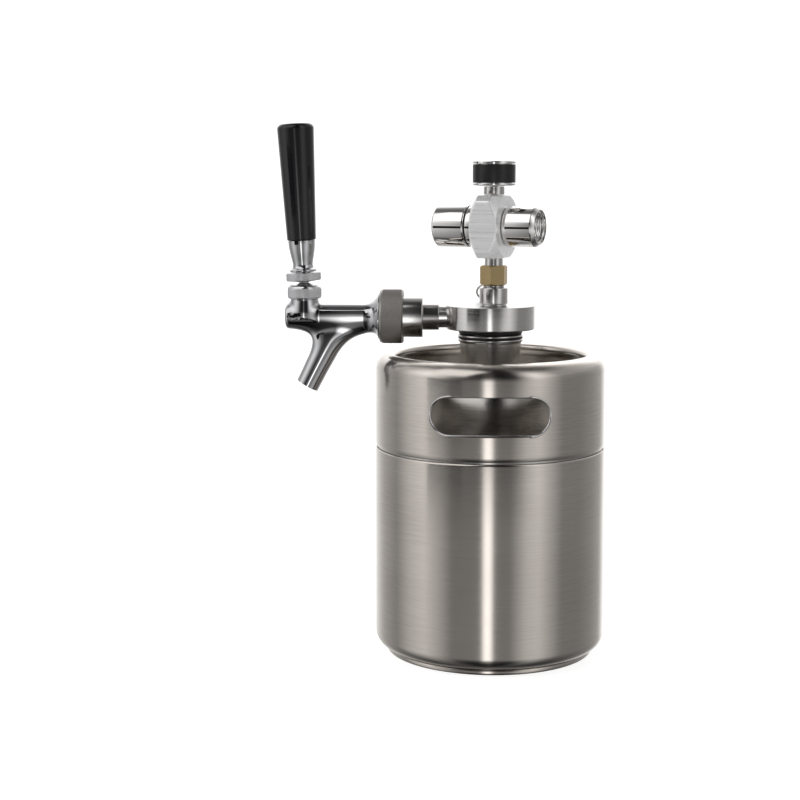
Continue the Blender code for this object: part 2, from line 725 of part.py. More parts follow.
def faucet_holes():
    rear = -SHANK_END_X - 5 * MM
    seat = -SEAT_X
    blind = -LEVER_X + SHAFT_HEAD_HALF + 1.2 * MM
    bore = [
        (0, blind), (BODY_BORE_R, blind), (BODY_BORE_R, seat), (CHAMBER_R, seat), (CHAMBER_R, rear), (0, rear),
    ]
    floor = BALL_Z - BALL_HOLD - WASHER_H - GAP
    socket = [
        (0, BALL_Z + 2 * BALL_R), (BALL_R + GAP, BALL_Z + 2 * BALL_R), (BALL_R + GAP, floor),
        (TAIL_WELL_R, floor),
        (TAIL_WELL_R + TAIL_WELL_SPREAD, SHANK_Z), (0, SHANK_Z),
    ]
    up = Vector((sin(SPOUT_TILT), 0, cos(SPOUT_TILT)))
    mouth = Vector((SPOUT_MOUTH_X, 0, SHANK_Z - SPOUT_DROP))
    length = SPOUT_DROP / cos(SPOUT_TILT)
    outlet = rod(SPOUT_BORE_R, -3 * MM, length)
    return [
        cutter("faucet_bore", turned_mesh(bore, 16), toward_faucet()),
        cutter("ball_bore", turned_mesh(socket, SMALL_SEGMENTS), upright(LEVER_X, 0, 0)),
        cutter("spout_bore", turned_mesh(outlet, 16), along(mouth, up)),
    ]


def bonnet():
    """Knurled ring that screws down on the faucet's neck and holds the lever's ball."""
    high = BONNET_Z + BONNET_H
    roof = BALL_Z + BALL_HOLD + FRICTION_H + GAP
    outline = [
        (BONNET_MOUTH_R, high), (BONNET_R - BONNET_EDGE, high), (BONNET_R, high - BONNET_EDGE),
        (BONNET_R, BONNET_Z + EDGE / 2), (BONNET_R - EDGE / 2, BONNET_Z), (NECK_THREAD_R + GAP, BONNET_Z),
        (NECK_THREAD_R + GAP, roof), (BONNET_MOUTH_R, roof),
    ]
    return turned("bonnet", outline, upright(LEVER_X, 0, 0), chrome("bonnet"))


def friction_washer():
    low = BALL_Z + BALL_HOLD
    outline = tube(BALL_R + 0.4 * MM, NECK_THREAD_R, low, low + FRICTION_H)
    return turned("friction_washer", outline, upright(LEVER_X, 0, 0), rubber("friction"), SMALL_SEGMENTS)


def ball_washer():
    high = BALL_Z - BALL_HOLD
    outline = tube(TAIL_WELL_R - GAP, BALL_R + GAP / 3, high - WASHER_H, high)
    return turned("ball_washer", outline, upright(LEVER_X, 0, 0), rubber("ball_washer"), SMALL_SEGMENTS)


def handle_frame():
    """Local Z runs up the leaning handle from the centre of the lever's ball."""
    return upright(LEVER_X, 0, BALL_Z) @ Matrix.Rotation(-HANDLE_LEAN, 4, "Y")


def collar_low():
    return BALL_DROP + COLLAR_GAP


def lever():
    stud_top = collar_low() + COLLAR_H + FERRULE_H * 0.6
    tip = SHANK_Z - BALL_Z - 1 * MM
    ball = arc((0, 0), BALL_R, 50, -63, 7)
    outline = [(0, stud_top), (LEVER_R, stud_top)] + ball
    outline += [(LEVER_TAIL_R, tip + 1 * MM), (LEVER_TAIL_R - 1 * MM, tip), (0, tip)]
    return turned("faucet_lever", outline, handle_frame(), steel("lever"), 16)


def lever_collar():
    low = collar_low()
    high = low + COLLAR_H
    bore = LEVER_R + GAP
    outline = [
        (bore, high), (COLLAR_R - EDGE, high), (COLLAR_R, high - EDGE), (COLLAR_R, low + COLLAR_RISE),
        (5 * MM, low), (bore, low),
    ]
    return turned("lever_collar", outline, handle_frame(), chrome("collar"))


def ferrule_low():
    return collar_low() + COLLAR_H + GAP


def handle_ferrule():
    low = ferrule_low()
    high = low + FERRULE_H
    waist = low + 4 * MM
    bore = LEVER_R + GAP
    blind = collar_low() + COLLAR_H + FERRULE_H * 0.6 + GAP
    side = bezier(
        (FERRULE_TOP_R, high), (FERRULE_TOP_R, high - 6 * MM),
        (FERRULE_WAIST_R + 0.3 * MM, waist + 4 * MM), (FERRULE_WAIST_R, waist), 6,
    )
    outline = [(0, high + GRIP_SPIGOT_H), (GRIP_SPIGOT_R, high + GRIP_SPIGOT_H), (GRIP_SPIGOT_R, high)]
    outline += side + [(COLLAR_R - 2.5 * EDGE, low), (bore, low), (bore, blind), (0, blind)]
    return turned("handle_ferrule", outline, handle_frame(), chrome("ferrule"))


def handle_grip():
    low = ferrule_low() + FERRULE_H + GAP
    high = low + GRIP_H
    bore = GRIP_SPIGOT_R + GAP
    blind = low + GRIP_SPIGOT_H + GAP
    crown = arc((GRIP_TOP_R - 3 * MM, high - 3 * MM), 3 * MM, 90, 5, 4)
    outline = [(0, high)] + crown
    outline += [
        (GRIP_FOOT_R, low + EDGE), (GRIP_FOOT_R - EDGE, low), (bore, low), (bore, blind), (0, blind),
    ]
    return turned("handle_grip", outline, handle_frame(), black_plastic("grip"))


def faucet_shaft():
    """The shaft that the lever's tail moves. Its head is slotted for the tail."""
    head = -LEVER_X
    seat = -SEAT_X
    outline = [
        (0, head + SHAFT_HEAD_HALF), (SHAFT_HEAD_R, head + SHAFT_HEAD_HALF),
        (SHAFT_HEAD_R, head - SHAFT_HEAD_HALF), (SHAFT_R, head - SHAFT_HEAD_HALF), (SHAFT_R, seat - 6 * MM),
        (0, seat - 6 * MM),
    ]
    shaft = turned("faucet_shaft", outline, toward_faucet(), steel("shaft"), 16)
    bm = bmesh.new()
    bmesh.ops.create_cube(bm, size=1)
    slot = Vector((2 * SHAFT_SLOT_HALF, 2 * (LEVER_TAIL_R + GAP), 4 * SHAFT_HEAD_R))
    bmesh.ops.scale(bm, vec=slot, verts=bm.verts)
    boolean(shaft, cutter("tail_slot", bm, upright(LEVER_X, 0, SHANK_Z)), "DIFFERENCE")
    return shaft


def shaft_seat_washer():
    high = -SEAT_X - GAP
    outline = tube(SHAFT_R + GAP, SEAT_WASHER_R, high - SEAT_WASHER_H, high, 0.4 * MM)
    return turned("shaft_seat_washer", outline, toward_faucet(), rubber("seat"), SMALL_SEGMENTS)


# ---------- gas line and regulator ----------

def gas_axis():
    return upright(GAS_X, GAS_Y, 0)


def regulator_frame():
    """Local Z runs along the regulator's axis, towards the cartridge socket."""
    turn = Matrix.Rotation(REGULATOR_TURN, 4, "Z")
    lie = Matrix.Rotation(pi / 2, 4, "Y")
    return upright(GAS_X, GAS_Y, REGULATOR_Z) @ turn @ lie


def union_nut():
    """Hexagon nut over the post's thread. Its lip pulls the outlet stem down."""
    high = STEM_Z
    corner = UNION_FLATS / sqrt(3)
    bm = bmesh.new()
    bmesh.ops.create_cone(
        bm, cap_ends=True, segments=6, radius1=corner, radius2=corner, depth=UNION_H,
        matrix=upright(0, 0, UNION_Z + UNION_H / 2) @ Matrix.Rotation(radians(30), 4, "Z"),
    )
    turn = Matrix.Rotation(-pi / 2 + UNION_TURN, 4, "Z")
    nut = place("union_nut", bm, gas_axis() @ turn, brass("union"))
    cone = corner - 1.6 * MM
    barrel = [
        (0, high + EDGE), (cone - EDGE, high + EDGE), (corner + 0.4 * MM, high - 1.4 * MM),
        (corner + 0.4 * MM, UNION_Z + 1.4 * MM), (cone - EDGE, UNION_Z - EDGE), (0, UNION_Z - EDGE),
    ]
    boolean(nut, cutter("union_chamfer", turned_mesh(barrel, 24), gas_axis()), "INTERSECT")
    cavity = stem_collar_top() + GAP
    bore = [
        (0, high + 2 * EDGE), (STEM_R + GAP, high + 2 * EDGE), (STEM_R + GAP, cavity),
        (POST_NECK_R + GAP, cavity), (POST_NECK_R + GAP, UNION_Z - 2 * EDGE), (0, UNION_Z - 2 * EDGE),
    ]
    boolean(nut, cutter("union_bore", turned_mesh(bore, SMALL_SEGMENTS), gas_axis()), "DIFFERENCE")
    return nut


def union_washer():
    low = POST_TOP + POST_NECK_H + GAP
    outline = tube(3.4 * MM, POST_NECK_R - GAP, low, low + WASHER_H)
    return turned("union_washer", outline, gas_axis(), rubber("union_washer"), SMALL_SEGMENTS)


def stem_collar_low():
    return POST_TOP + POST_NECK_H + WASHER_H + 2 * GAP


def stem_collar_top():
    return stem_collar_low() + OUTLET_COLLAR_H


def outlet_stem():
    """The regulator's outlet, with the collar the union nut pulls on and the poppet's push rod."""
    low = stem_collar_low()
    tip = DISC_TOP + POPPET_RISE + POPPET_H + GAP
    outline = [
        (0, BLOCK_Z - GAP), (STEM_R, BLOCK_Z - GAP), (STEM_R, stem_collar_top()),
        (POST_NECK_R - GAP, stem_collar_top()), (POST_NECK_R - GAP, low), (1.5 * MM, low), (1.5 * MM, tip),
        (0, tip),
    ]
    return turned("regulator_outlet_stem", outline, gas_axis(), steel("outlet"))


def regulator_block():
    """Square bar with bevelled corners, its ends turned to a cone, bored for spindle and gas."""
    bm = bmesh.new()
    near = BLOCK_HALF - BLOCK_CHAMFER
    corners = []
    for sx, sy in ((1, 1), (-1, 1), (-1, -1), (1, -1)):
        pair = [(sx * BLOCK_HALF, sy * near), (sx * near, sy * BLOCK_HALF)]
        corners += pair if sx * sy > 0 else pair[::-1]
    face = bm.faces.new([bm.verts.new((x, y, -BLOCK_END)) for x, y in corners])
    grown = bmesh.ops.extrude_face_region(bm, geom=[face])["geom"]
    moved = [part for part in grown if isinstance(part, bmesh.types.BMVert)]
    bmesh.ops.translate(bm, verts=moved, vec=(0, 0, 2 * BLOCK_END))
    block = place("regulator_block", bm, regulator_frame(), chrome("block"))
    reach = 8 * MM
    wide = BLOCK_HALF + reach
    waist = BLOCK_END - reach / tan(BLOCK_CONE)
    over = 2 * MM / tan(BLOCK_CONE)
    cone = [
        (0, BLOCK_END + over), (BLOCK_HALF - 2 * MM, BLOCK_END + over), (wide, waist),
        (wide, -waist), (BLOCK_HALF - 2 * MM, -BLOCK_END - over), (0, -BLOCK_END - over),
    ]
    boolean(block, cutter("block_cone", turned_mesh(cone, 32), regulator_frame()), "INTERSECT")
    well = rod(SPINDLE_R + GAP, REGULATOR_Z - 2 * MM, BLOCK_TOP + 1 * MM)
    boolean(block, cutter("spindle_well", turned_mesh(well, 16), gas_axis()), "DIFFERENCE")
    gas = rod(1.5 * MM, -BLOCK_END - 1 * MM, BLOCK_END + 1 * MM)
    boolean(block, cutter("gas_way", turned_mesh(gas, 10), regulator_frame()), "DIFFERENCE")
    return block


def spring_cap():
    """Hollow cap at the left, over the regulator's piston and spring."""
    low = BLOCK_END + GAP
    wall = CAP_R - CAP_WALL
    outline = [
        (0, -CAP_FAR), (CAP_R - EDGE, -CAP_FAR), (CAP_R, -CAP_FAR + EDGE), (CAP_R, -CAP_NEAR),
        (CAP_NECK_R - EDGE, -CAP_NEAR), (CAP_NECK_R - EDGE, -CAP_NEAR + CAP_RING_W),
        (CAP_NECK_R, -CAP_NEAR + CAP_RING_W), (CAP_NECK_R, -low), (wall - 2 * EDGE, -low),
        (wall - 2 * EDGE, -CAP_NEAR - EDGE), (wall, -CAP_NEAR - EDGE),
        (wall, -CAP_FAR + CAP_WALL), (0, -CAP_FAR + CAP_WALL),
    ]
    return turned("spring_cap", outline, regulator_frame(), chrome("cap"), FINE_SEGMENTS)


def cap_seal_ring():
    inner = CAP_NECK_R - EDGE + GAP / 2
    low = -CAP_NEAR + GAP / 3
    outline = tube(inner, CAP_NECK_R, low, low + CAP_RING_W - GAP / 1.5)
    return turned("cap_seal_ring", outline, regulator_frame(), rubber("cap_ring"), FINE_SEGMENTS)


def regulator_piston():
    high = -CAP_NEAR - EDGE - GAP
    outline = rod(CAP_R - CAP_WALL - GAP, high - PISTON_H, high, EDGE / 2)
    return turned("regulator_piston", outline, regulator_frame(), brass("piston"))


def regulator_spring():
    low = -CAP_FAR + CAP_WALL + GAP
    high = -CAP_NEAR - EDGE - PISTON_H - 2 * GAP
    return coil(
        "regulator_spring", CAP_R - CAP_WALL - 2.4 * MM, 1 * MM, low, high, 4,
        regulator_frame(), steel("regulator_spring"),
    )


def cartridge_socket():
    low = BLOCK_END + GAP
    lip = 1.2 * MM
    outline = [
        (SOCKET_BORE_R, SOCKET_FAR), (SOCKET_R - 2 * EDGE, SOCKET_FAR), (SOCKET_R, SOCKET_FAR - EDGE),
        (SOCKET_R, low + lip), (SOCKET_R - lip / 2, low), (PIN_R + GAP, low), (PIN_R + GAP, SOCKET_FLOOR),
        (SOCKET_BORE_R, SOCKET_FLOOR),
    ]
    return turned("cartridge_socket", outline, regulator_frame(), chrome("socket"), FINE_SEGMENTS)


def piercing_pin():
    low = BLOCK_END + GAP
    outline = [
        (0, SOCKET_FLOOR + PIN_LENGTH), (PIN_R, SOCKET_FLOOR + PIN_LENGTH - 3 * MM), (PIN_R, low), (0, low),
    ]
    return turned("piercing_pin", outline, regulator_frame(), steel("pin"), 12)


def socket_seal():
    low = SOCKET_FLOOR + GAP
    outline = tube(PIN_R + GAP, PIN_R + 3.4 * MM, low, low + 1.6 * MM, 0.3 * MM)
    return turned("socket_seal", outline, regulator_frame(), rubber("socket_seal"), 16)


def knob_stem():
    outline = tube(SPINDLE_R + GAP, KNOB_STEM_R, BLOCK_TOP + GAP, KNOB_Z - GAP, 0.5 * MM)
    return turned("knob_stem", outline, gas_axis(), steel("knob_stem"))


def knob_core():
    """Adjusting knob with its spindle. Two bright bands stand round the black sleeve."""
    high = KNOB_Z + KNOB_H
    hub = KNOB_SLEEVE_R - 2.2 * MM
    outline = [
        (0, high), (KNOB_R - EDGE, high), (KNOB_R, high - EDGE / 2), (KNOB_R, high - KNOB_BAND),
        (hub, high - KNOB_BAND), (hub, KNOB_Z + KNOB_BAND), (KNOB_R, KNOB_Z + KNOB_BAND),
        (KNOB_R, KNOB_Z + EDGE / 2), (KNOB_R - EDGE, KNOB_Z), (SPINDLE_R, KNOB_Z),
        (SPINDLE_R, BLOCK_TOP - SPINDLE_DEPTH), (0, BLOCK_TOP - SPINDLE_DEPTH),
    ]
    return turned("knob_core", outline, gas_axis(), chrome("knob"), FINE_SEGMENTS)


def knob_sleeve():
    inner = KNOB_SLEEVE_R - 2.2 * MM + GAP
    outline = tube(inner, KNOB_SLEEVE_R, KNOB_Z + KNOB_BAND + GAP, KNOB_Z + KNOB_H - KNOB_BAND - GAP)
    return turned("knob_sleeve", outline, gas_axis(), black_plastic("sleeve"), FINE_SEGMENTS)


def valve_needle():
    high = BLOCK_TOP - SPINDLE_DEPTH - GAP
    outline = [
        (0, high), (SPINDLE_R, high), (SPINDLE_R, high - NEEDLE_H + 2 * MM),
        (0.5 * MM, high - NEEDLE_H), (0, high - NEEDLE_H),
    ]
    return turned("valve_needle", outline, gas_axis(), brass("needle"), 12)


def keg_axis_x():
    """Where the keg's axis stands, so that the whole part is centred on the origin in X."""
    up = ferrule_low() + FERRULE_H + GAP + GRIP_H - 3 * MM
    handle_reach = -LEVER_X + up * sin(HANDLE_LEAN) + GRIP_TOP_R * cos(HANDLE_LEAN)
    return (handle_reach - KEG_R) / 2


def build():
    clear_scene()
    for make in (
        vessel_shell, vessel_dome, top_ring, foot_ring, neck, head_disc, head_plug, lid_gasket, dip_tube,
        dip_tube_seal, gas_post, gas_poppet, gas_poppet_spring, relief_body, relief_stem, relief_spring,
        pull_ring, shank, shank_seal, coupling_nut, coupling_washer, faucet_body, bonnet, friction_washer,
        ball_washer, lever, lever_collar, handle_ferrule, handle_grip, faucet_shaft, shaft_seat_washer,
        union_nut, union_washer, outlet_stem, regulator_block, spring_cap, cap_seal_ring, regulator_piston,
        regulator_spring, cartridge_socket, piercing_pin, socket_seal, knob_stem, knob_core, knob_sleeve,
        valve_needle,
    ):
        make()
    bpy.context.view_layer.update()
    axis = bpy.data.objects.new("keg_axis", None)
    bpy.context.scene.collection.objects.link(axis)
    axis.location.x = keg_axis_x()
    for item in bpy.data.objects:
        if item is not axis:
            item.parent = axis


build()
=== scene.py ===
# %% [markdown]
# # A small beer keg with its tap and gas regulator
# The solid model gives every piece its place and its motion. This lesson gives it its looks:
# each turned, pressed, knurled or cast surface is worked out as a grid of points, and each
# metal gets its own grain. First the frame is loaded and its box is kept for the last cell.

# %% Load the frame
from math import cos, pi, radians, sin, tan

import bmesh
import bpy
import numpy as np
from mathutils import Matrix, Vector


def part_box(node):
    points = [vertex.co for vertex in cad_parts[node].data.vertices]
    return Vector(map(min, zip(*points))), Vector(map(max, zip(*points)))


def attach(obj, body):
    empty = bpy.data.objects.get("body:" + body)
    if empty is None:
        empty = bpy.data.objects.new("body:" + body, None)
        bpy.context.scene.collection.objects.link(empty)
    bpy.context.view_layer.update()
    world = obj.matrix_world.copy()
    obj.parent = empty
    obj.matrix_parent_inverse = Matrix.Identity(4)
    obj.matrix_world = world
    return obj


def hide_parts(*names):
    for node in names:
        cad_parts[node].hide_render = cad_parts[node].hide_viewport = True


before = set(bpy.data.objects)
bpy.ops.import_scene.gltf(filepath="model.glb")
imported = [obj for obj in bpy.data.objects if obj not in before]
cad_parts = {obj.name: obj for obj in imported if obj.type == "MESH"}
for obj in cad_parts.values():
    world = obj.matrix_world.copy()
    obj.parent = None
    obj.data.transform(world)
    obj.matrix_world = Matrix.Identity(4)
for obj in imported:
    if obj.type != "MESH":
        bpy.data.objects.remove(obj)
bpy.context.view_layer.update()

MM = 0.001
low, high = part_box("vessel_shell")
KEG = np.array([(low[0] + high[0]) / 2, 0.0, 0.0])
KEG_R = (high[1] - low[1]) / 2
print("keg axis at x =", round(float(KEG[0]) / MM, 1), "mm, radius", round(float(KEG_R) / MM, 1), "mm")

# %% [markdown]
# ## From a grid of numbers to a mesh
# Most of this keg was made on a lathe, so most pieces are one outline spun round an axis. A
# modifier could spin them, but a grid of points is as short and can carry a knurl or a thread.
# A grid has rows along the outline and columns round the axis, and both can close on themselves.

# %% Grid to mesh
def grid_faces(rows, columns, close_rows, close_columns):
    """Quads between neighbours in the grid. An index wraps round where that way is closed."""
    i = np.arange(rows if close_rows else rows - 1)[:, None]
    j = np.arange(columns if close_columns else columns - 1)[None, :]
    following_i = (i + 1) % rows
    following_j = (j + 1) % columns
    corners = (i * columns + j, i * columns + following_j,
               following_i * columns + following_j, following_i * columns + j)
    return np.stack([c.reshape(-1) for c in np.broadcast_arrays(*corners)], axis=1)


def piece_from(name, points, faces, sharp=40):
    """Makes the object with its doubles merged, its normals out and its soft edges smooth."""
    mesh = bpy.data.meshes.new(name)
    mesh.from_pydata(points.reshape(-1, 3).tolist(), [], faces.tolist())
    bm = bmesh.new()
    bm.from_mesh(mesh)
    bmesh.ops.remove_doubles(bm, verts=bm.verts, dist=1e-6)
    bmesh.ops.dissolve_degenerate(bm, edges=bm.edges, dist=1e-7)
    bmesh.ops.recalc_face_normals(bm, faces=bm.faces)
    bm.to_mesh(mesh)
    bm.free()
    mesh.shade_smooth()
    mesh.set_sharp_from_angle(angle=radians(sharp))
    made = bpy.data.objects.new(name, mesh)
    bpy.context.scene.collection.objects.link(made)
    return made


def softened(corners, steps=4):
    """An outline with each corner (radius, height, round) cut back by round and bridged by a
    quadratic curve that leaves along one side and arrives along the other."""
    corners = np.array(corners, float)
    place = corners[:, :2]
    before = np.roll(place, 1, axis=0) - place
    after = np.roll(place, -1, axis=0) - place
    long_before = np.linalg.norm(before, axis=1, keepdims=True)
    long_after = np.linalg.norm(after, axis=1, keepdims=True)
    cut = np.minimum(corners[:, 2:3], 0.48 * np.minimum(long_before, long_after))
    start = place + before / long_before * cut
    end = place + after / long_after * cut
    t = np.linspace(0, 1, steps + 1)[None, :, None]
    curve = (1 - t) ** 2 * start[:, None] + 2 * t * (1 - t) * place[:, None] + t ** 2 * end[:, None]
    kept = [curve[i] if cut[i, 0] > 0 else place[i:i + 1] for i in range(len(place))]
    return np.concatenate(kept)


def spun(outline, columns=128):
    """Points of the outline carried round Z: x = radius cos a, y = radius sin a, z = height."""
    a = np.linspace(0, 2 * pi, columns, endpoint=False)[None, :]
    radius = outline[:, 0][:, None]
    height = outline[:, 1][:, None] + 0 * a
    return np.stack([radius * np.cos(a), radius * np.sin(a), height], axis=-1)


def aimed(origin, direction):
    """The place of a piece whose own Z axis runs from origin along direction."""
    aim = Vector(direction).to_track_quat("Z", "Y").to_matrix().to_4x4()
    return np.array(Matrix.Translation(origin) @ aim)


def moved(points, place):
    return points @ place[:3, :3].T + place[:3, 3]


def lathe(name, corners, place, columns=128, steps=4):
    """A closed outline, corners softened, spun round its own axis and put in place."""
    outline = softened(corners, steps)
    points = spun(outline, columns)
    faces = grid_faces(len(outline), columns, True, True)
    return piece_from(name, moved(points, place), faces)


def carved(piece, tool):
    """Takes the tool's solid out of the piece, keeps the result as its mesh and drops the tool."""
    cut = piece.modifiers.new("cut", "BOOLEAN")
    cut.operation = "DIFFERENCE"
    cut.object = tool
    graph = bpy.context.evaluated_depsgraph_get()
    piece.data = bpy.data.meshes.new_from_object(piece.evaluated_get(graph))
    piece.modifiers.clear()
    bpy.data.objects.remove(tool)


UP = aimed(KEG, (0, 0, 1))

# %% [markdown]
# ## Finishes
# The keg is sheet steel, brushed round and round. Brushing scatters light across the scratches
# much more than along them, so highlights stretch upright. That is anisotropy, with its tangent
# turned round Z. The scratches themselves are noise that is fine along Z and long round the wall.
# Each finish is a short function, so that pieces of the same metal share one node tree.

# %% Material helpers
def new_finish(name):
    material = bpy.data.materials.new(name)
    material.use_nodes = True
    tree = material.node_tree
    return material, tree, tree.nodes["Principled BSDF"]


def ramp(tree, source, low_at, low_color, high_at, high_color):
    """Turns a 0 to 1 value into a colour between two stops."""
    node = tree.nodes.new("ShaderNodeValToRGB")
    node.color_ramp.elements[0].position = low_at
    node.color_ramp.elements[0].color = (*low_color, 1)
    node.color_ramp.elements[1].position = high_at
    node.color_ramp.elements[1].color = (*high_color, 1)
    tree.links.new(source, node.inputs[0])
    return node.outputs[0]


def noise(tree, scale, detail=3.0, strength=0.5):
    """Noise on Object coordinates, its grain stretched by a different scale on each axis."""
    where = tree.nodes.new("ShaderNodeTexCoord")
    mapping = tree.nodes.new("ShaderNodeMapping")
    mapping.inputs["Scale"].default_value = scale
    texture = tree.nodes.new("ShaderNodeTexNoise")
    texture.inputs["Scale"].default_value = 1
    texture.inputs["Detail"].default_value = detail
    texture.inputs["Roughness"].default_value = strength
    tree.links.new(where.outputs["Object"], mapping.inputs["Vector"])
    tree.links.new(mapping.outputs["Vector"], texture.inputs["Vector"])
    return texture.outputs["Fac"]


def bumped(tree, shader, height, strength, distance):
    node = tree.nodes.new("ShaderNodeBump")
    node.inputs["Strength"].default_value = strength
    node.inputs["Distance"].default_value = distance
    tree.links.new(height, node.inputs["Height"])
    tree.links.new(node.outputs["Normal"], shader.inputs["Normal"])


def varied_roughness(tree, shader, source, lowest, highest):
    node = tree.nodes.new("ShaderNodeMapRange")
    node.inputs["From Min"].default_value = 0.3
    node.inputs["From Max"].default_value = 0.7
    node.inputs["To Min"].default_value = lowest
    node.inputs["To Max"].default_value = highest
    tree.links.new(source, node.inputs["Value"])
    tree.links.new(node.outputs["Result"], shader.inputs["Roughness"])


def tangent_round(tree, shader):
    node = tree.nodes.new("ShaderNodeTangent")
    node.direction_type = "RADIAL"
    node.axis = "Z"
    tree.links.new(node.outputs["Tangent"], shader.inputs["Tangent"])


def brushed(name, dark, light, rough, grain, anisotropy=0.6, bump=0.12):
    """Brushed or turned metal: a slow change of tone, fine scratches, and a stretched gloss."""
    material, tree, shader = new_finish(name)
    shader.inputs["Metallic"].default_value = 1
    shader.inputs["Anisotropic"].default_value = anisotropy
    fine = noise(tree, grain, 4, 0.65)
    slow = noise(tree, (11, 11, 26), 2, 0.5)
    both = tree.nodes.new("ShaderNodeMix")
    both.data_type = "FLOAT"
    both.inputs[0].default_value = 0.35
    tree.links.new(fine, both.inputs[2])
    tree.links.new(slow, both.inputs[3])
    tree.links.new(ramp(tree, both.outputs[0], 0.3, dark, 0.7, light), shader.inputs["Base Color"])
    varied_roughness(tree, shader, fine, *rough)
    bumped(tree, shader, fine, bump, 0.00004)
    if anisotropy:
        shader.inputs["Anisotropic Rotation"].default_value = 0.25
        tangent_round(tree, shader)
    return material


def polished(name, color, rough, tone=0.03, bump=0.0):
    """Plated metal: a mirror with the faintest unevenness of its casting."""
    material, tree, shader = new_finish(name)
    shader.inputs["Metallic"].default_value = 1
    slow = noise(tree, (60, 60, 60), 2, 0.5)
    darker = tuple(c * (1 - tone) for c in color)
    tree.links.new(ramp(tree, slow, 0.3, darker, 0.7, color), shader.inputs["Base Color"])
    varied_roughness(tree, shader, noise(tree, (240, 240, 240), 3, 0.6), *rough)
    if bump:
        bumped(tree, shader, slow, bump, 0.0003)
    return material


def plastic(name, color, rough, bump=0.03, coat=0.0):
    material, tree, shader = new_finish(name)
    texture = noise(tree, (900, 900, 900), 3, 0.5)
    light = tuple(c * 1.5 + 0.002 for c in color)
    tree.links.new(ramp(tree, texture, 0.35, color, 0.75, light), shader.inputs["Base Color"])
    varied_roughness(tree, shader, noise(tree, (90, 90, 90), 2, 0.5), *rough)
    bumped(tree, shader, texture, bump, 0.00005)
    shader.inputs["Specular IOR Level"].default_value = 0.3
    shader.inputs["Coat Weight"].default_value = coat
    shader.inputs["Coat Roughness"].default_value = 0.04
    return material


# %% [markdown]
# Each finish is named for where it is used. The two colours are the dark and the light end of
# the grain, then come the least and greatest roughness and the grain's fineness on each axis.

# %% The finishes
keg_steel = brushed(
    "keg_steel", (0.52, 0.475, 0.435), (0.66, 0.615, 0.57), (0.17, 0.24), (45, 45, 2600), 0.8
)
# The dome is the keg's own steel. Its darker colours are painted shade, since it sits under the top ring.
dome_steel = brushed(
    "dome_steel", (0.40, 0.385, 0.365), (0.54, 0.52, 0.49), (0.16, 0.24), (50, 50, 2600), 0.6, 0.06
)
turned_steel = brushed(
    "turned_steel", (0.60, 0.585, 0.57), (0.74, 0.725, 0.71), (0.14, 0.22), (60, 60, 3800), 0.45
)
lid_top_steel = brushed(
    "lid_top_steel", (0.62, 0.62, 0.61), (0.74, 0.74, 0.73), (0.34, 0.42), (500, 500, 500), 0.0
)
# The knurled nut's steel is darkened: painted shade of the knurl's crevices.
knurled_steel = brushed(
    "knurled_steel", (0.30, 0.285, 0.27), (0.42, 0.40, 0.38), (0.32, 0.42), (900, 900, 900), 0.0
)
# The faucet's chrome is darker than the knurled chrome: painted shade that stands in for the dark surroundings
# it reflects.
chrome = polished("faucet_chrome", (0.54, 0.54, 0.55), (0.02, 0.05), 0.02, 0.02)
knurled_chrome = polished("knurled_chrome", (0.70, 0.70, 0.71), (0.05, 0.09))
nickel = polished("regulator_nickel", (0.86, 0.845, 0.83), (0.02, 0.05))
brass = brushed("nut_brass", (0.42, 0.31, 0.16), (0.52, 0.40, 0.22), (0.34, 0.44), (300, 300, 900), 0.0)
grip_black = plastic("grip_black", (0.006, 0.006, 0.007), (0.12, 0.18), coat=0.3)
sleeve_black = plastic("sleeve_black", (0.012, 0.012, 0.013), (0.26, 0.34))
rubber = plastic("seal_rubber", (0.010, 0.010, 0.010), (0.42, 0.55), bump=0.1)


def dressed(piece, body, nodes, slot, *materials):
    """Gives a finished piece its material, its body and the solids it stands for. The slot is not used."""
    for material in materials:
        piece.data.materials.append(material)
    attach(piece, body)
    if nodes:
        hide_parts(*nodes)
    print(piece.name, len(piece.data.polygons), "faces")
    return piece

# %% [markdown]
# ## The keg
# Three pressings are welded into the keg: a cup, a dome with the neck in it, and a ring with two
# handle slots round the top. Each is sheet, so its outline is a line with a thickness. The wall
# offsets that line along its own normal, which keeps the bends as thick as the flats.

# %% Sheet metal
WALL = 1.2 * MM


def sheet(path, wall=WALL):
    """A closed outline: the path along the outer side, and back along a copy moved in by wall."""
    path = np.array(path, float)
    run = np.gradient(path, axis=0)
    run /= np.linalg.norm(run, axis=1, keepdims=True)
    inner = path + wall * np.stack([run[:, 1], -run[:, 0]], axis=1)
    inner[:, 0] = np.maximum(inner[:, 0], 0)
    return np.concatenate([path, inner[::-1]])


def arc(center, radius, start, end, steps):
    """Points of a circle in the outline's plane: centre plus radius times (cos, sin) of the angle."""
    a = np.radians(np.linspace(start, end, steps + 1))
    return np.stack([center[0] + radius * np.cos(a), center[1] + radius * np.sin(a)], axis=1)


def bezier(a, b, c, d, steps):
    """Cubic curve: the four points weighted by the terms of (1 - t + t) cubed."""
    t = np.linspace(0, 1, steps + 1)[:, None]
    a, b, c, d = (np.array(point, float) for point in (a, b, c, d))
    return (1 - t) ** 3 * a + 3 * t * (1 - t) ** 2 * b + 3 * t * t * (1 - t) * c + t ** 3 * d


def spun_sheet(name, path, columns=192):
    points = spun(sheet(path), columns)
    return piece_from(name, moved(points, UP), grid_faces(len(points), columns, True, True), 50)


# %% [markdown]
# The cup is one deep pressing with a hollow under it, and a short ring is welded there to stand
# on. A spin of one outline gives both, and the outline keeps the seam's rounded lip exact.

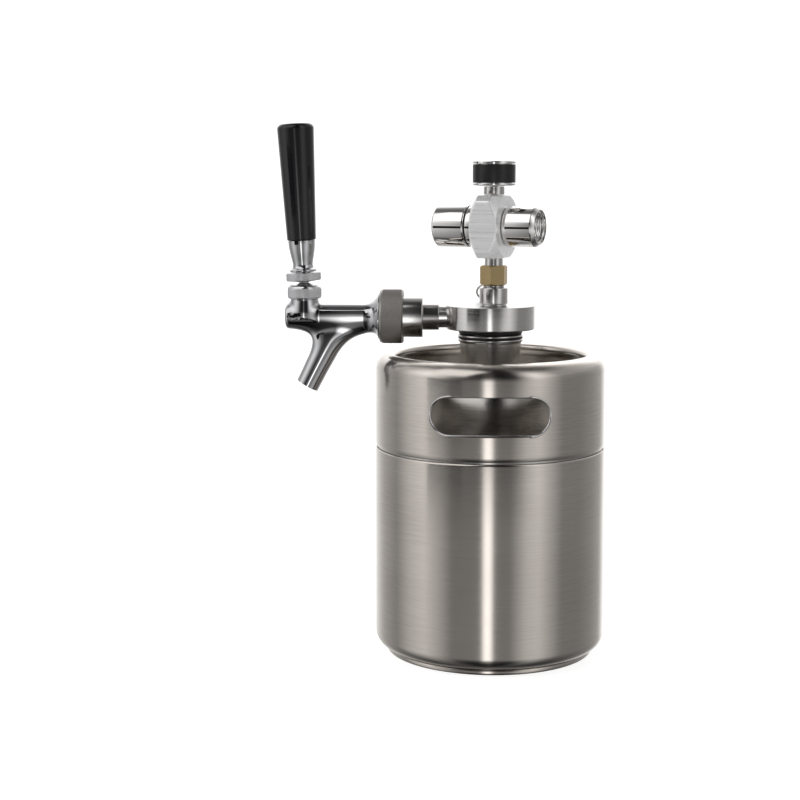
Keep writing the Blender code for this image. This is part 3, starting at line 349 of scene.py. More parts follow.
# %% Lower cup and foot
shell_low, shell_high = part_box("vessel_shell")
foot_low, foot_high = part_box("foot_ring")
CORNER_R = 9 * MM
base = shell_low[2]
heel = arc((KEG_R - CORNER_R, base + CORNER_R), CORNER_R, 0, -90, 14)
hollow = bezier((61.5 * MM, base), (50 * MM, base + 1 * MM),
                (34 * MM, base + 7 * MM), (0, base + 7 * MM), 12)
lip = [(KEG_R - 0.7 * MM, shell_high[2]), (KEG_R - 0.15 * MM, shell_high[2] - 0.4 * MM)]
wall = [(KEG_R, shell_high[2] - 1.3 * MM), (KEG_R, 90 * MM), (KEG_R, 50 * MM)]
cup = spun_sheet("lower_cup", np.concatenate([lip, wall, heel, hollow]))
dressed(cup, "keg", ["vessel_shell"], "keg_steel", keg_steel)

FOOT_R = (foot_high[1] - foot_low[1]) / 2
foot = lathe("welded_foot", [
    (FOOT_R - 9 * MM, foot_high[2], 0.5 * MM), (FOOT_R, foot_high[2], 1.2 * MM),
    (FOOT_R, 0, 1.6 * MM), (FOOT_R - 9 * MM, 0, 1.6 * MM),
], UP, 192)
dressed(foot, "keg", ["foot_ring"], "keg_steel", keg_steel)

# %% [markdown]
# The top ring is rolled inward at its rim and its edge is curled under, so that a hand never
# meets cut steel. The two handle slots are cut with a solid of the slot's own outline: two half
# circles joined by straight lines. The same outline carries the lip that is rolled round it.

# %% Top ring with its slots
ring_low, ring_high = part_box("top_ring")
RIM_Z = ring_high[2]
BEND_R = 10.5 * MM
CURL = 3.2 * MM
SLOT_Z = ring_low[2] + 29 * MM
SLOT_HALF = 39 * MM
SLOT_R = 13 * MM


def slot_outline(grow, steps=24):
    """Stadium: half circles of radius SLOT_R plus grow about the two ends of the slot."""
    half = np.linspace(-pi / 2, pi / 2, steps + 1)
    a = np.concatenate([half, half + pi])
    side = np.where(np.arange(len(a)) <= steps, 1, -1) * (SLOT_HALF - SLOT_R)
    radius = SLOT_R + grow
    return np.stack([side + radius * np.cos(a), SLOT_Z + radius * np.sin(a)], axis=1)


curl = arc((KEG_R - BEND_R, RIM_Z - CURL), CURL, 200, 100, 8)
shoulder = arc((KEG_R - BEND_R, RIM_Z - BEND_R), BEND_R, 90, 0, 14)
skirt = [(KEG_R, 185 * MM), (KEG_R, 170 * MM), (KEG_R, 155 * MM), (KEG_R, ring_low[2] + 3.4 * MM),
         (KEG_R - 0.15 * MM, ring_low[2] + 1 * MM), (KEG_R - 0.75 * MM, ring_low[2])]
top_ring = spun_sheet("slotted_top_ring", np.concatenate([curl, shoulder, skirt]))

outline = slot_outline(0)
ends = np.array([-1.3 * KEG_R, 1.3 * KEG_R])
prism = np.stack([
    np.broadcast_to(KEG[0] + outline[:, 0], (2, len(outline))),
    np.broadcast_to(ends[:, None], (2, len(outline))),
    np.broadcast_to(outline[:, 1], (2, len(outline))),
], axis=-1)
caps = [list(range(len(outline))), list(range(len(outline), 2 * len(outline)))]
cutter_mesh = bpy.data.meshes.new("slot_cutter")
cutter_faces = grid_faces(2, len(outline), False, True).tolist() + caps
cutter_mesh.from_pydata(prism.reshape(-1, 3).tolist(), [], cutter_faces)
cutter = bpy.data.objects.new("slot_cutter", cutter_mesh)
bpy.context.scene.collection.objects.link(cutter)
turned_out = bmesh.new()
turned_out.from_mesh(cutter_mesh)
bmesh.ops.recalc_face_normals(turned_out, faces=turned_out.faces)
turned_out.to_mesh(cutter_mesh)
turned_out.free()
carved(top_ring, cutter)
top_ring.data.set_sharp_from_angle(angle=radians(50))
dressed(top_ring, "keg", ["top_ring"], "keg_steel", keg_steel)


# %% [markdown]
# The edge of each slot is folded back, which catches the light as a thin bright line. A bevel on
# the cut edge would follow the Boolean's uneven faces, so a wire is carried along the slot.

# %% Rolled lips of the slots
def slot_lip(name, side):
    """A wire bent round the slot: its centre follows the stadium on the wall's cylinder, and its
    small circle is spanned by the stadium's normal and the keg's own radius."""
    path = slot_outline(-0.2 * MM, 40)
    ahead = np.roll(path, -1, axis=0) - np.roll(path, 1, axis=0)
    ahead /= np.linalg.norm(ahead, axis=1, keepdims=True)
    out = np.stack([ahead[:, 1], -ahead[:, 0]], axis=1)
    depth = np.sqrt((KEG_R - 0.35 * MM) ** 2 - path[:, 0] ** 2)
    center = np.stack([KEG[0] + path[:, 0], side * depth, path[:, 1]], axis=1)
    across = np.stack([out[:, 0], 0 * out[:, 0], out[:, 1]], axis=1)
    away = np.stack([path[:, 0], side * depth, 0 * depth], axis=1) / KEG_R
    a = np.linspace(0, 2 * pi, 12, endpoint=False)[None, :, None]
    points = center[:, None] + 0.85 * MM * (np.cos(a) * across[:, None] + np.sin(a) * away[:, None])
    return piece_from(name, points, grid_faces(len(path), 12, True, True), 60)


for name, side in (("front_slot_lip", -1), ("back_slot_lip", 1)):
    dressed(slot_lip(name, side), "keg", [], "keg_steel", turned_steel)

# %% [markdown]
# The dome closes the vessel below the handles, and the neck is welded into it. Both are spun, and
# two Bezier curves shape the flank and the flare: a curve needs fewer numbers than a polygon.

# %% Dome and neck
dome_low, dome_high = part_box("vessel_dome")
CROWN_Z = dome_high[2]
NECK_R = 21 * MM
skirt_r = (dome_high[1] - dome_low[1]) / 2
bend = arc((skirt_r - 4 * MM, ring_low[2]), 4 * MM, 75, 0, 8)
flank = bezier((NECK_R + 0.6 * MM, CROWN_Z), (44 * MM, CROWN_Z),
               (42 * MM, ring_low[2] + 7 * MM), bend[0], 40)
skirt = [(skirt_r, ring_low[2] - 3 * MM), (skirt_r, dome_low[2])]
dome = spun_sheet("pressed_dome", np.concatenate([flank, bend[1:], skirt]))
# The dome's finish is the keg's steel, darkened by painted shade under the ring.
dressed(dome, "keg", ["vessel_dome"], "dome_steel", dome_steel)

neck_low, neck_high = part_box("neck")
top = neck_high[2]
flare = bezier((NECK_R, CROWN_Z + 6 * MM), (NECK_R, CROWN_Z + 2 * MM),
               (NECK_R + 1 * MM, CROWN_Z + 0.6 * MM), (NECK_R + 4 * MM, CROWN_Z + 0.35 * MM), 10)
neck_corners = [
    (17 * MM, top, 0.4 * MM), (22.2 * MM, top, 0.6 * MM), (22.2 * MM, top - 1.3 * MM, 0.3 * MM),
    (21.5 * MM, top - 1.9 * MM, 0.2 * MM), (21.5 * MM, top - 2.6 * MM, 0.2 * MM),
    (22.2 * MM, top - 3.1 * MM, 0.3 * MM), (22.2 * MM, top - 4.3 * MM, 0.5 * MM),
    (NECK_R, top - 5.2 * MM, 0.4 * MM),
]
neck_corners += [(r, z, 0) for r, z in flare]
neck_corners += [(NECK_R, CROWN_Z + 0.33 * MM, 0), (NECK_R, neck_low[2], 0), (17 * MM, neck_low[2], 0)]
neck = lathe("threaded_neck", neck_corners, UP, 128, 3)
dressed(neck, "keg", ["neck"], "turned_steel", turned_steel)

# %% [markdown]
# ## The tapping head
# A thick lid sits on the neck with a rubber gasket under it and carries everything else: the
# shank to the tap, the gas post and the relief valve. All of it is plain turning.

# %% Lid, gasket and O-ring
disc_low, disc_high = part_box("head_disc")
DISC_R = (disc_high[1] - disc_low[1]) / 2
lid = lathe("tapping_lid", [
    (0, disc_high[2], 0), (DISC_R - 0.2 * MM, disc_high[2], 0.9 * MM),
    (DISC_R, disc_high[2] - 0.2 * MM, 0.6 * MM),
    (DISC_R, disc_low[2], 0.9 * MM), (14 * MM, disc_low[2], 0), (14 * MM, disc_low[2] + 2 * MM, 0),
    (0, disc_low[2] + 2 * MM, 0),
], UP, 160)
dressed(lid, "head", ["head_disc"], "turned_steel", turned_steel, lid_top_steel)
for face in lid.data.polygons:
    face.material_index = 1 if face.normal.z > 0.9 else 0

gasket_low, gasket_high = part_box("lid_gasket")
gasket_r = (gasket_high[1] - gasket_low[1]) / 2
gasket = lathe("flat_gasket", [
    (16 * MM, gasket_low[2], 0.4 * MM), (gasket_r, gasket_low[2], 1.1 * MM),
    (gasket_r, gasket_high[2], 1.1 * MM), (16 * MM, gasket_high[2], 0.4 * MM),
], UP)
dressed(gasket, "head", ["lid_gasket"], "seal_rubber", rubber)

groove_z = neck_high[2] - 2.3 * MM
bead = arc((21.5 * MM, groove_z), 0.5 * MM, 0, 330, 11)
o_ring = piece_from("neck_o_ring", moved(spun(bead), UP), grid_faces(len(bead), 128, True, True))
dressed(o_ring, "keg", [], "seal_rubber", rubber)

# %% [markdown]
# The shank is a stepped pipe that leaves the lid level. It is spun like the rest, on an axis that
# points towards the tap, so distances along it are counted from the keg.

# %% Shank to the tap
shank_low, shank_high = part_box("shank")
SHANK_Z = (shank_low[2] + shank_high[2]) / 2
TAPWARD = aimed((KEG[0], 0, SHANK_Z), (-1, 0, 0))


def from_keg(x):
    """Distance of a world x from the keg's axis, counted towards the tap."""
    return KEG[0] - x


seat = from_keg(shank_high[0]) + 6.9 * MM
shank_end = from_keg(shank_low[0])
shank_line = lathe("turned_shank", [
    (3 * MM, seat - 2 * MM, 0), (7.6 * MM, seat - 2 * MM, 0), (7.6 * MM, seat + 4 * MM, 0),
    (9.15 * MM, seat + 4 * MM, 0.5 * MM), (9.15 * MM, seat + 14.9 * MM, 0.3 * MM),
    (14.05 * MM, seat + 14.9 * MM, 0.8 * MM), (14.05 * MM, shank_end - 3.5 * MM, 0),
    (15.8 * MM, shank_end - 3.5 * MM, 0.3 * MM), (15.8 * MM, shank_end, 0.3 * MM),
    (3 * MM, shank_end, 0.3 * MM),
], TAPWARD, 112)
dressed(shank_line, "head", ["shank"], "turned_steel", turned_steel)

# %% [markdown]
# The post is threaded for the brass nut, as ridges in its outline: a real helix would hardly be
# told apart at this size. The pull ring is a torus that hangs from an eye, worked out from two
# directions at right angles, so that it needs no turning afterwards.

# %% Gas post, relief valve and its pull ring
post_low, post_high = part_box("gas_post")
GAS = np.array([(post_low[0] + post_high[0]) / 2, (post_low[1] + post_high[1]) / 2, 0])
GAS_UP = aimed(GAS, (0, 0, 1))
POST_FOOT = post_low[2]
POST_TOP = post_high[2] - 4.2 * MM
post_outline = [
    (4 * MM, POST_FOOT, 0), (8.8 * MM, POST_FOOT, 0.2 * MM), (8.8 * MM, POST_FOOT + 1.3 * MM, 0.2 * MM),
    (9.6 * MM, POST_FOOT + 1.7 * MM, 0.3 * MM), (9.6 * MM, POST_TOP, 1 * MM), (8 * MM, POST_TOP, 0.2 * MM),
]
for i in range(5):
    z = POST_TOP + (0.3 + 0.8 * i) * MM
    post_outline += [(6.9 * MM, z, 0.1 * MM), (7.45 * MM, z + 0.4 * MM, 0.12 * MM)]
post_outline += [(6.9 * MM, post_high[2], 0.1 * MM), (4 * MM, post_high[2], 0)]
post = lathe("threaded_gas_post", post_outline, GAS_UP, 96, 3)
dressed(post, "head", ["gas_post"], "turned_steel", turned_steel)

valve_low, valve_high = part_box("relief_valve_body")
VALVE = np.array([(valve_low[0] + valve_high[0]) / 2, (valve_low[1] + valve_high[1]) / 2, 0])
VALVE_UP = aimed(VALVE, (0, 0, 1))
valve = lathe("relief_valve", [
    (2.4 * MM, valve_low[2], 0), (8 * MM, valve_low[2], 0.2 * MM), (8 * MM, valve_low[2] + 1.4 * MM, 0.3 * MM),
    (7.5 * MM, valve_low[2] + 1.9 * MM, 0.2 * MM), (7.5 * MM, valve_high[2] - 1 * MM, 1 * MM),
    (6.2 * MM, valve_high[2], 0.4 * MM), (2.4 * MM, valve_high[2], 0.3 * MM),
], VALVE_UP, 96)
dressed(valve, "head", ["relief_valve_body"], "turned_steel", turned_steel)

ring_low, ring_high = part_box("relief_pull_ring")
WIRE_R = 0.75 * MM
RING_R = (ring_high[0] - ring_low[0]) / 2 - WIRE_R
eye = np.array([VALVE[0], VALVE[1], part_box("relief_stem")[1][2] - 3.3 * MM])
hang = np.array([0.0, sin(radians(47)), -cos(radians(47))])
a = np.linspace(0, 2 * pi, 96, endpoint=False)[:, None]
b = np.linspace(0, 2 * pi, 16, endpoint=False)[None, :]
around = np.stack([np.sin(a), np.cos(a)], axis=-1)
flat = (RING_R + WIRE_R * np.cos(b))[..., None] * around
ring_points = (eye + RING_R * hang + flat[..., :1] * np.array([1.0, 0, 0]) + flat[..., 1:] * hang
               + WIRE_R * np.sin(b)[..., None] * np.cross(hang, [1.0, 0, 0]))
wire_ring = piece_from("bent_pull_ring", ring_points, grid_faces(96, 16, True, True))
dressed(wire_ring, "pull_ring", ["relief_pull_ring"], "turned_steel", turned_steel)

# %% [markdown]
# ## Knurls
# A knurl is two sets of helical grooves that cross. With n grooves round the piece, the phase of
# each set is u = n a / 2 pi + z / pitch and v = n a / 2 pi - z / pitch. A triangle wave of each
# phase is 0 in the groove and 1 on the crest, and the lower of the two gives little pyramids.

# %% Knurled rings
def triangle_wave(phase):
    return 1 - 2 * np.abs(phase - np.floor(phase) - 0.5)


def knurled(name, before, low, high, radius, after, place, pitch, depth, fade=0.35 * MM):
    """A lathe outline whose middle, from low to high at radius, carries the knurl. The outline's
    plain corners come before and after the knurled length."""
    count = int(round(2 * pi * radius / pitch))
    columns = count * 6
    rows = int(round((high - low) / pitch * 6)) + 1
    a = np.linspace(0, 2 * pi, columns, endpoint=False)[None, :]
    z = np.linspace(low, high, rows)[:, None]
    u = count * a / (2 * pi) + z / pitch
    v = count * a / (2 * pi) - z / pitch
    edge = np.clip(np.minimum(z - low, high - z) / fade, 0, 1)
    r = radius - depth * (1 - np.minimum(triangle_wave(u), triangle_wave(v)) * edge)
    band = np.stack([r * np.cos(a), r * np.sin(a), z + 0 * a], axis=-1)
    points = np.concatenate([spun(np.array(before), columns), band, spun(np.array(after), columns)])
    faces = grid_faces(len(points), columns, True, True)
    return piece_from(name, moved(points, place), faces, 75)


# %% [markdown]
# This nut draws the faucet on to the shank and is done up by hand, so its rim is knurled.

# %% Coupling nut
nut_low, nut_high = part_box("coupling_nut")
NUT_R = (nut_high[1] - nut_low[1]) / 2
nut_near = from_keg(nut_high[0])
nut_far = from_keg(nut_low[0])
nut = knurled(
    "knurled_coupling_nut",
    [(14.5 * MM, nut_near + 2 * MM), (14.5 * MM, nut_near), (NUT_R - 1.2 * MM, nut_near),
     (NUT_R - 0.3 * MM, nut_near + 0.8 * MM)],
    nut_near + 1 * MM, nut_far - 1.7 * MM, NUT_R,
    [(NUT_R - 0.3 * MM, nut_far - 1.5 * MM), (NUT_R - 0.9 * MM, nut_far - 0.3 * MM),
     (NUT_R - 1.2 * MM, nut_far), (16.3 * MM, nut_far), (16.3 * MM, nut_far - 2 * MM)],
    TAPWARD, 1.45 * MM, 0.55 * MM,
)
# The nut's darker steel is painted shade of its knurl.
dressed(nut, "coupling_nut", ["coupling_nut"], "knurled_steel", knurled_steel)

# %% [markdown]
# ## The faucet's body
# The body is one casting: a flared tube, a neck for the bonnet, and a spout that leaves the tube
# like a web and narrows to a round end. Each is a distance field, and a smooth minimum of the
# fields makes the fillets. A coarse mesh of the same parts is then pulled onto the zero of the
# field by Newton steps, p - f g / |g|^2, where g is the gradient of f.

# %% The field of the casting
body_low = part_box("faucet_body")[0]
tap_at = (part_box("bonnet")[0][0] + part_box("bonnet")[1][0]) / 2
LEVER_U = from_keg(tap_at)
FRONT_U = from_keg(body_low[0])
FLARE_U = nut_far + 0.3 * MM
TUBE_R = 8.6 * MM
THROAT = 11 * MM
FLARE_R = 16.15 * MM
TILT = radians(29.5)
MOUTH = np.array([LEVER_U - 1.1 * MM, -47.1 * MM])
edge_w = np.array([-60, -51.2, -38, -24.8, -20.5, -17, -14.4, -12.6, -11, -7, 0]) * MM
rear_u = np.array([122.7, 117.9, 110.9, 103.4, 100.2, 96.6, 92.4, 88, 82, 76, 74]) * MM
front_u = np.array([139.8, 135.6, 129.3, 123.2, 121.9, 121.6, 122.2, 123.4, 125, 128, 128]) * MM
depth_y = np.array([7.9, 7.9, 7.9, 7.9, 7.8, 7.6, 7.4, 7.2, 7.0, 6.5, 5.5]) * MM


def smooth_curve(w, at, values):
    """Linear interpolation averaged over a 3 mm window, which rounds the kinks."""
    total = 0
    for shift in np.linspace(-1.5, 1.5, 7) * MM:
        total = total + np.interp(w + shift, at, values)
    return total / 7


def smooth_minimum(a, b, blend):
    """min(a, b) less a term that peaks at h squared times blend over 4 where a equals b."""
    h = np.clip(1 - np.abs(a - b) / blend, 0, 1)
    return np.minimum(a, b) - h * h * blend / 4


def casting(points):
    """Distance to the casting's skin, below zero inside. u runs from the keg to the tap's end."""
    u = from_keg(points[:, 0])
    y = points[:, 1]
    w = points[:, 2] - SHANK_Z
    radius = np.hypot(y, w)
    inside = np.clip(FLARE_U + THROAT - u, 0, 0.94 * THROAT)
    wall_r = np.minimum(TUBE_R + THROAT - np.sqrt(THROAT ** 2 - inside ** 2), FLARE_R)
    nose = 2.6 * MM
    side = radius - wall_r + nose
    end = u - FRONT_U + nose
    tube = np.hypot(np.maximum(side, 0), np.maximum(end, 0)) + np.minimum(np.maximum(side, end), 0) - nose
    neck_r = np.hypot(u - LEVER_U, y) - 9.6 * MM - 0.2 * np.clip(11 * MM - w, 0, 8 * MM)
    neck_field = np.maximum(neck_r, -w - 2 * MM)
    rear = smooth_curve(w, edge_w, rear_u)
    front = smooth_curve(w, edge_w, front_u)
    half = (front - rear) / 2
    depth = smooth_curve(w, edge_w, depth_y)
    away = np.hypot((u - (rear + front) / 2) / half, y / depth) - 1
    spout = np.maximum(away * depth, w - 2 * MM)
    solid = smooth_minimum(tube, spout, 5 * MM)
    return smooth_minimum(solid, neck_field, 2.5 * MM)


def gradient(points, step=0.02 * MM):
    rows = []
    for axis in np.eye(3) * step:
        rows.append((casting(points + axis) - casting(points - axis)) / (2 * step))
    return np.stack(rows, axis=1)


# %% [markdown]
# A voxel remesh joins the rough parts into one skin of even faces. Sculpting could smooth it, but
# Newton steps put each vertex on the formula, with a little averaging in the first rounds.

# %% Coarse mesh, then pulled onto the field
def coarse(name, outline, place, columns=48):
    points = spun(np.array(outline), columns)
    return piece_from(name, moved(points, place), grid_faces(len(points), columns, True, True))


tap_neck_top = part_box("bonnet")[0][2] + 2 * MM
rough = [coarse("rough_tube", [
    (0, FLARE_U - 1 * MM), (FLARE_R, FLARE_U - 1 * MM), (TUBE_R + 2 * MM, FLARE_U + 7 * MM),
    (TUBE_R, FLARE_U + 12 * MM), (TUBE_R, FRONT_U), (0, FRONT_U)], TAPWARD)]
rough.append(coarse("rough_neck", [
    (0, SHANK_Z), (9.2 * MM, SHANK_Z), (9.2 * MM, tap_neck_top), (0, tap_neck_top)],
    aimed((tap_at, 0, 0), (0, 0, 1))))
w = np.linspace(-56, 0, 40)[:, None] * MM
a = np.linspace(0, 2 * pi, 48, endpoint=False)[None, :]
rear = smooth_curve(w, edge_w, rear_u)
front = smooth_curve(w, edge_w, front_u)
u = (rear + front) / 2 + (front - rear) / 2 * np.cos(a)
web = np.stack([KEG[0] - u, smooth_curve(w, edge_w, depth_y) * np.sin(a), SHANK_Z + w + 0 * a], axis=-1)
poles = [end.mean(axis=1, keepdims=True) + 0 * end for end in (web[:1], web[-1:])]
web = np.concatenate([poles[0], web, poles[1]])
rough.append(piece_from("rough_spout", web, grid_faces(len(web), 48, False, True)))

skin = bmesh.new()
for part in rough:
    skin.from_mesh(part.data)
    bpy.data.objects.remove(part)
whole = bpy.data.meshes.new("faucet_casting")
skin.to_mesh(whole)
skin.free()
body = bpy.data.objects.new("faucet_casting", whole)
bpy.context.scene.collection.objects.link(body)
remesh = body.modifiers.new("even", "REMESH")
remesh.mode = "VOXEL"
remesh.voxel_size = 0.55 * MM
graph = bpy.context.evaluated_depsgraph_get()
body.data = bpy.data.meshes.new_from_object(body.evaluated_get(graph))
body.modifiers.clear()

points = np.empty(len(body.data.vertices) * 3)
body.data.vertices.foreach_get("co", points)
points = points.reshape(-1, 3)
links = np.empty(len(body.data.edges) * 2, int)
body.data.edges.foreach_get("vertices", links)
links = links.reshape(-1, 2)
degree = np.bincount(links.reshape(-1), minlength=len(points))[:, None]
for turn in range(12):
    if turn < 8:
        total = np.zeros_like(points)
        np.add.at(total, links[:, 0], points[links[:, 1]])
        np.add.at(total, links[:, 1], points[links[:, 0]])
        points = 0.4 * points + 0.6 * total / degree
    slope = gradient(points)
    points -= casting(points)[:, None] * slope / np.maximum((slope ** 2).sum(axis=1, keepdims=True), 0.2)
body.data.vertices.foreach_set("co", points.reshape(-1))
print("casting", len(points), "vertices, worst miss", float(np.abs(casting(points)).max() / MM), "mm")

# %% [markdown]
# The casting is machined where it meets the shank and at its mouth. Two planes cut it there, and
# a stepped cylinder bores the spout.

# %% Trim the ends and bore the spout
trimmed = bmesh.new()
trimmed.from_mesh(body.data)
down = np.array([-sin(TILT), 0, -cos(TILT)])
mouth_at = np.array([KEG[0] - MOUTH[0], 0, SHANK_Z + MOUTH[1]])
for at, normal in ((mouth_at, down), (np.array([KEG[0] - FLARE_U, 0, SHANK_Z]), np.array([1.0, 0, 0]))):
    parts = trimmed.verts[:] + trimmed.edges[:] + trimmed.faces[:]
    cut = bmesh.ops.bisect_plane(trimmed, geom=parts, plane_co=at, plane_no=normal, clear_outer=True)
    rim = [e for e in cut["geom_cut"] if isinstance(e, bmesh.types.BMEdge)]
    bmesh.ops.edgeloop_fill(trimmed, edges=rim)
bmesh.ops.recalc_face_normals(trimmed, faces=trimmed.faces)
trimmed.to_mesh(body.data)
trimmed.free()
bore_place = aimed(mouth_at, tuple(-down))
bore = coarse("spout_bore", [
    (0, -5 * MM), (6.6 * MM, -5 * MM), (6.6 * MM, -0.1 * MM), (5.4 * MM, 1.1 * MM), (5.4 * MM, 22 * MM),
    (0, 22 * MM)], bore_place, 64)
carved(body, bore)
body.data.shade_smooth()
body.data.set_sharp_from_angle(angle=radians(42))
# The casting's chrome carries painted shade: it is darkened to stand in for dark reflections.
dressed(body, "head", ["faucet_body"], "faucet_chrome", chrome)

# %% [markdown]
# ## Bonnet, handle and lever
# The knurled bonnet holds the lever's ball down. Above it a second knurled collar, a chromed
# ferrule and the tapered black grip lean together, so they share one leaning axis.

# %% Bonnet
bonnet_low, bonnet_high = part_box("bonnet")
BONNET_R = (bonnet_high[1] - bonnet_low[1]) / 2
zb, zt = bonnet_low[2], bonnet_high[2]
bonnet = knurled(
    "knurled_bonnet",
    [(8.7 * MM, zb + 2 * MM), (8.7 * MM, zb), (BONNET_R - 0.9 * MM, zb),
     (BONNET_R - 0.2 * MM, zb + 0.6 * MM)],
    zb + 0.8 * MM, zt - 2.1 * MM, BONNET_R,
    [(BONNET_R - 0.25 * MM, zt - 1.9 * MM), (BONNET_R - 0.6 * MM, zt - 1 * MM), (BONNET_R - 1.6 * MM, zt),
     (6.2 * MM, zt), (6.1 * MM, zt - 0.3 * MM), (6.1 * MM, zt - 1.5 * MM)],
    aimed((tap_at, 0, 0), (0, 0, 1)), 1.6 * MM, 0.6 * MM,
)
dressed(bonnet, "head", ["bonnet"], "knurled_chrome", knurled_chrome)

# %% [markdown]
# The grip and its ferrule are long, slightly bulged tapers, so each outline takes one curve. The
# stud below carries the ball that the faucet tilts about.

# %% Collar, ferrule, stud and grip
BALL_Z = zt - 6 * MM
LEAN = radians(2.9)
HANDLE = aimed((tap_at, 0, BALL_Z), (-sin(LEAN), 0, cos(LEAN)))
COLLAR_R = 12.05 * MM
collar = knurled(
    "knurled_lever_collar",
    [(3.6 * MM, 9 * MM), (3.6 * MM, 8 * MM), (5 * MM, 8 * MM), (COLLAR_R - 0.5 * MM, 8.95 * MM),
     (COLLAR_R - 0.2 * MM, 9.1 * MM)],
    9.2 * MM, 14.3 * MM, COLLAR_R,
    [(COLLAR_R - 0.3 * MM, 14.3 * MM), (COLLAR_R - 0.9 * MM, 14.9 * MM), (3.6 * MM, 14.9 * MM)],
    HANDLE, 1.6 * MM, 0.6 * MM,
)
dressed(collar, "lever", ["lever_collar"], "knurled_chrome", knurled_chrome)

foot = 15.2 * MM
head = foot + 21 * MM
side = bezier((6.8 * MM, foot + 4.2 * MM), (7.1 * MM, foot + 8 * MM),
              (9.25 * MM, head - 7 * MM), (9.25 * MM, head), 16)
ferrule_corners = [(3.6 * MM, foot, 0), (9.2 * MM, foot, 0.4 * MM), (9.2 * MM, foot + 1.2 * MM, 0.4 * MM),
                   (7.6 * MM, foot + 2.2 * MM, 0.6 * MM)]
ferrule_corners += [(r, z, 0) for r, z in side]
ferrule_corners += [(9.05 * MM, head + 0.15 * MM, 0), (4.9 * MM, head + 0.15 * MM, 0),
                    (4.9 * MM, head + 9 * MM, 0), (3.6 * MM, head + 9 * MM, 0)]
ferrule = lathe("chromed_ferrule", ferrule_corners, HANDLE, 96)
# The ferrule shares the faucet's chrome, darkened by painted shade.
dressed(ferrule, "lever", ["handle_ferrule"], "faucet_chrome", chrome)

grip_foot = head + 0.3 * MM
grip_top = grip_foot + 79 * MM
TOP_R = 12.55 * MM
dome_r = 3.6 * MM
crown = arc((TOP_R - dome_r, grip_top - dome_r), dome_r, 4, 80, 10)
grip_corners = [(5.3 * MM, grip_foot, 0), (9.9 * MM, grip_foot, 0.9 * MM), (TOP_R, grip_top - dome_r, 0)]
grip_corners += [(r, z, 0) for r, z in crown] + [(0, grip_top + 0.05 * MM, 0), (0, grip_top - 3 * MM, 0),
                                                 (5.3 * MM, grip_foot + 9 * MM, 0)]
grip = lathe("tapered_grip", grip_corners, HANDLE, 128)
dressed(grip, "lever", ["handle_grip"], "black_plastic", grip_black)

stud = [(0, 27 * MM, 0), (3.2 * MM, 27 * MM, 0.4 * MM)]
stud += [(r, z, 0) for r, z in arc((0, 0), 8.2 * MM, 67, 46, 8)] + [(4.6 * MM, 5.4 * MM, 0)]
stud += [(r, z, 0) for r, z in arc((0, 0), 5 * MM, 50, -63, 24)]
stud += [(2.2 * MM, -15.3 * MM, 0), (1.2 * MM, -16.3 * MM, 0), (0, -16.3 * MM, 0)]
dressed(lathe("ball_lever", stud, HANDLE, 64), "lever", ["faucet_lever"], "turned_steel", turned_steel)

# %% [markdown]
# ## Gas line and regulator
# A brass nut draws the outlet stem down on the gas post. The regulator's block is a square bar
# with bevelled corners, and the lathe has cut a cone across both of its ends: where that cone
# meets the flats it leaves arcs. So the block is a prism meshed finely and clipped to the cone.

# %% Union nut and outlet stem
union_low, union_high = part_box("union_nut")
ACROSS = 16.6 * MM
NUT_TURN = radians(17 - 90 + 30)


def hexagon_nut(name, low, high, bore_r, columns=216, rows=20):
    """Radius = flat / cos of the angle from the nearest flat's middle, clipped by a cone that
    rises 30 degrees from the chamfer at both ends."""
    a = np.linspace(0, 2 * pi, columns, endpoint=False)
    off = np.mod(a, pi / 3) - pi / 6
    corner_r = ACROSS / 2 / np.cos(off)
    z = np.linspace(low, high, rows * 2 + 1)
    z = np.sort(np.concatenate([z, [low + 0.15 * MM, high - 0.15 * MM]]))
    reach = np.minimum(z - low, high - z)
    clip = ACROSS / 2 - 0.25 * MM + reach * tan(radians(60))
    r = np.minimum(corner_r[None, :], clip[:, None])
    wall = np.stack([r * np.cos(a), r * np.sin(a), z[:, None] + 0 * r], axis=-1)
    step = high - 4 * MM
    inner = spun(np.array([(bore_r, high), (bore_r, step), (7.7 * MM, step), (7.7 * MM, low)]), columns)
    place = aimed((GAS[0], GAS[1], 0), (0, 0, 1)) @ np.array(Matrix.Rotation(NUT_TURN, 4, "Z"))
    points = np.concatenate([wall, inner])
    return piece_from(name, moved(points, place), grid_faces(len(points), columns, True, True), 20)


union = hexagon_nut("hexagon_union_nut", union_low[2], union_high[2], 6.5 * MM)
dressed(union, "union_nut", ["union_nut"], "nut_brass", brass)

stem_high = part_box("regulator_outlet_stem")[1]
stem = lathe("plated_outlet_stem", [
    (1.5 * MM, union_high[2] - 6 * MM, 0), (6.2 * MM, union_high[2] - 6 * MM, 0),
    (6.2 * MM, stem_high[2], 0.1 * MM), (1.5 * MM, stem_high[2], 0),
], GAS_UP, 96)
dressed(stem, "regulator", ["regulator_outlet_stem"], "turned_steel", turned_steel)

# %% [markdown]
# The regulator lies across the gas post and is swung a little to one side. Its own axes are
# named once, so that the cap, the block and the socket share them.

# %% The regulator's axis
knob_low, knob_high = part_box("knob_core")
knob_stem_low, knob_stem_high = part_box("knob_stem")
BLOCK_HALF = 20.85 * MM
REGULATOR_Z = knob_stem_low[2] - 0.3 * MM - BLOCK_HALF
SWING = radians(-22.5)
ALONG = np.array([cos(SWING), sin(SWING), 0.0])
SIDEWAYS = np.array([-sin(SWING), cos(SWING), 0.0])
REGULATOR = np.eye(4)
REGULATOR[:3, 0] = SIDEWAYS
REGULATOR[:3, 1] = [0, 0, 1]
REGULATOR[:3, 2] = ALONG
REGULATOR[:3, 3] = [GAS[0], GAS[1], REGULATOR_Z]

# %% [markdown]
# Bevel modifiers give no arcs where a cone meets flats, so the block is a distance field too. Its
# skin is found along rays, by halving the gap between a point inside and a point outside.

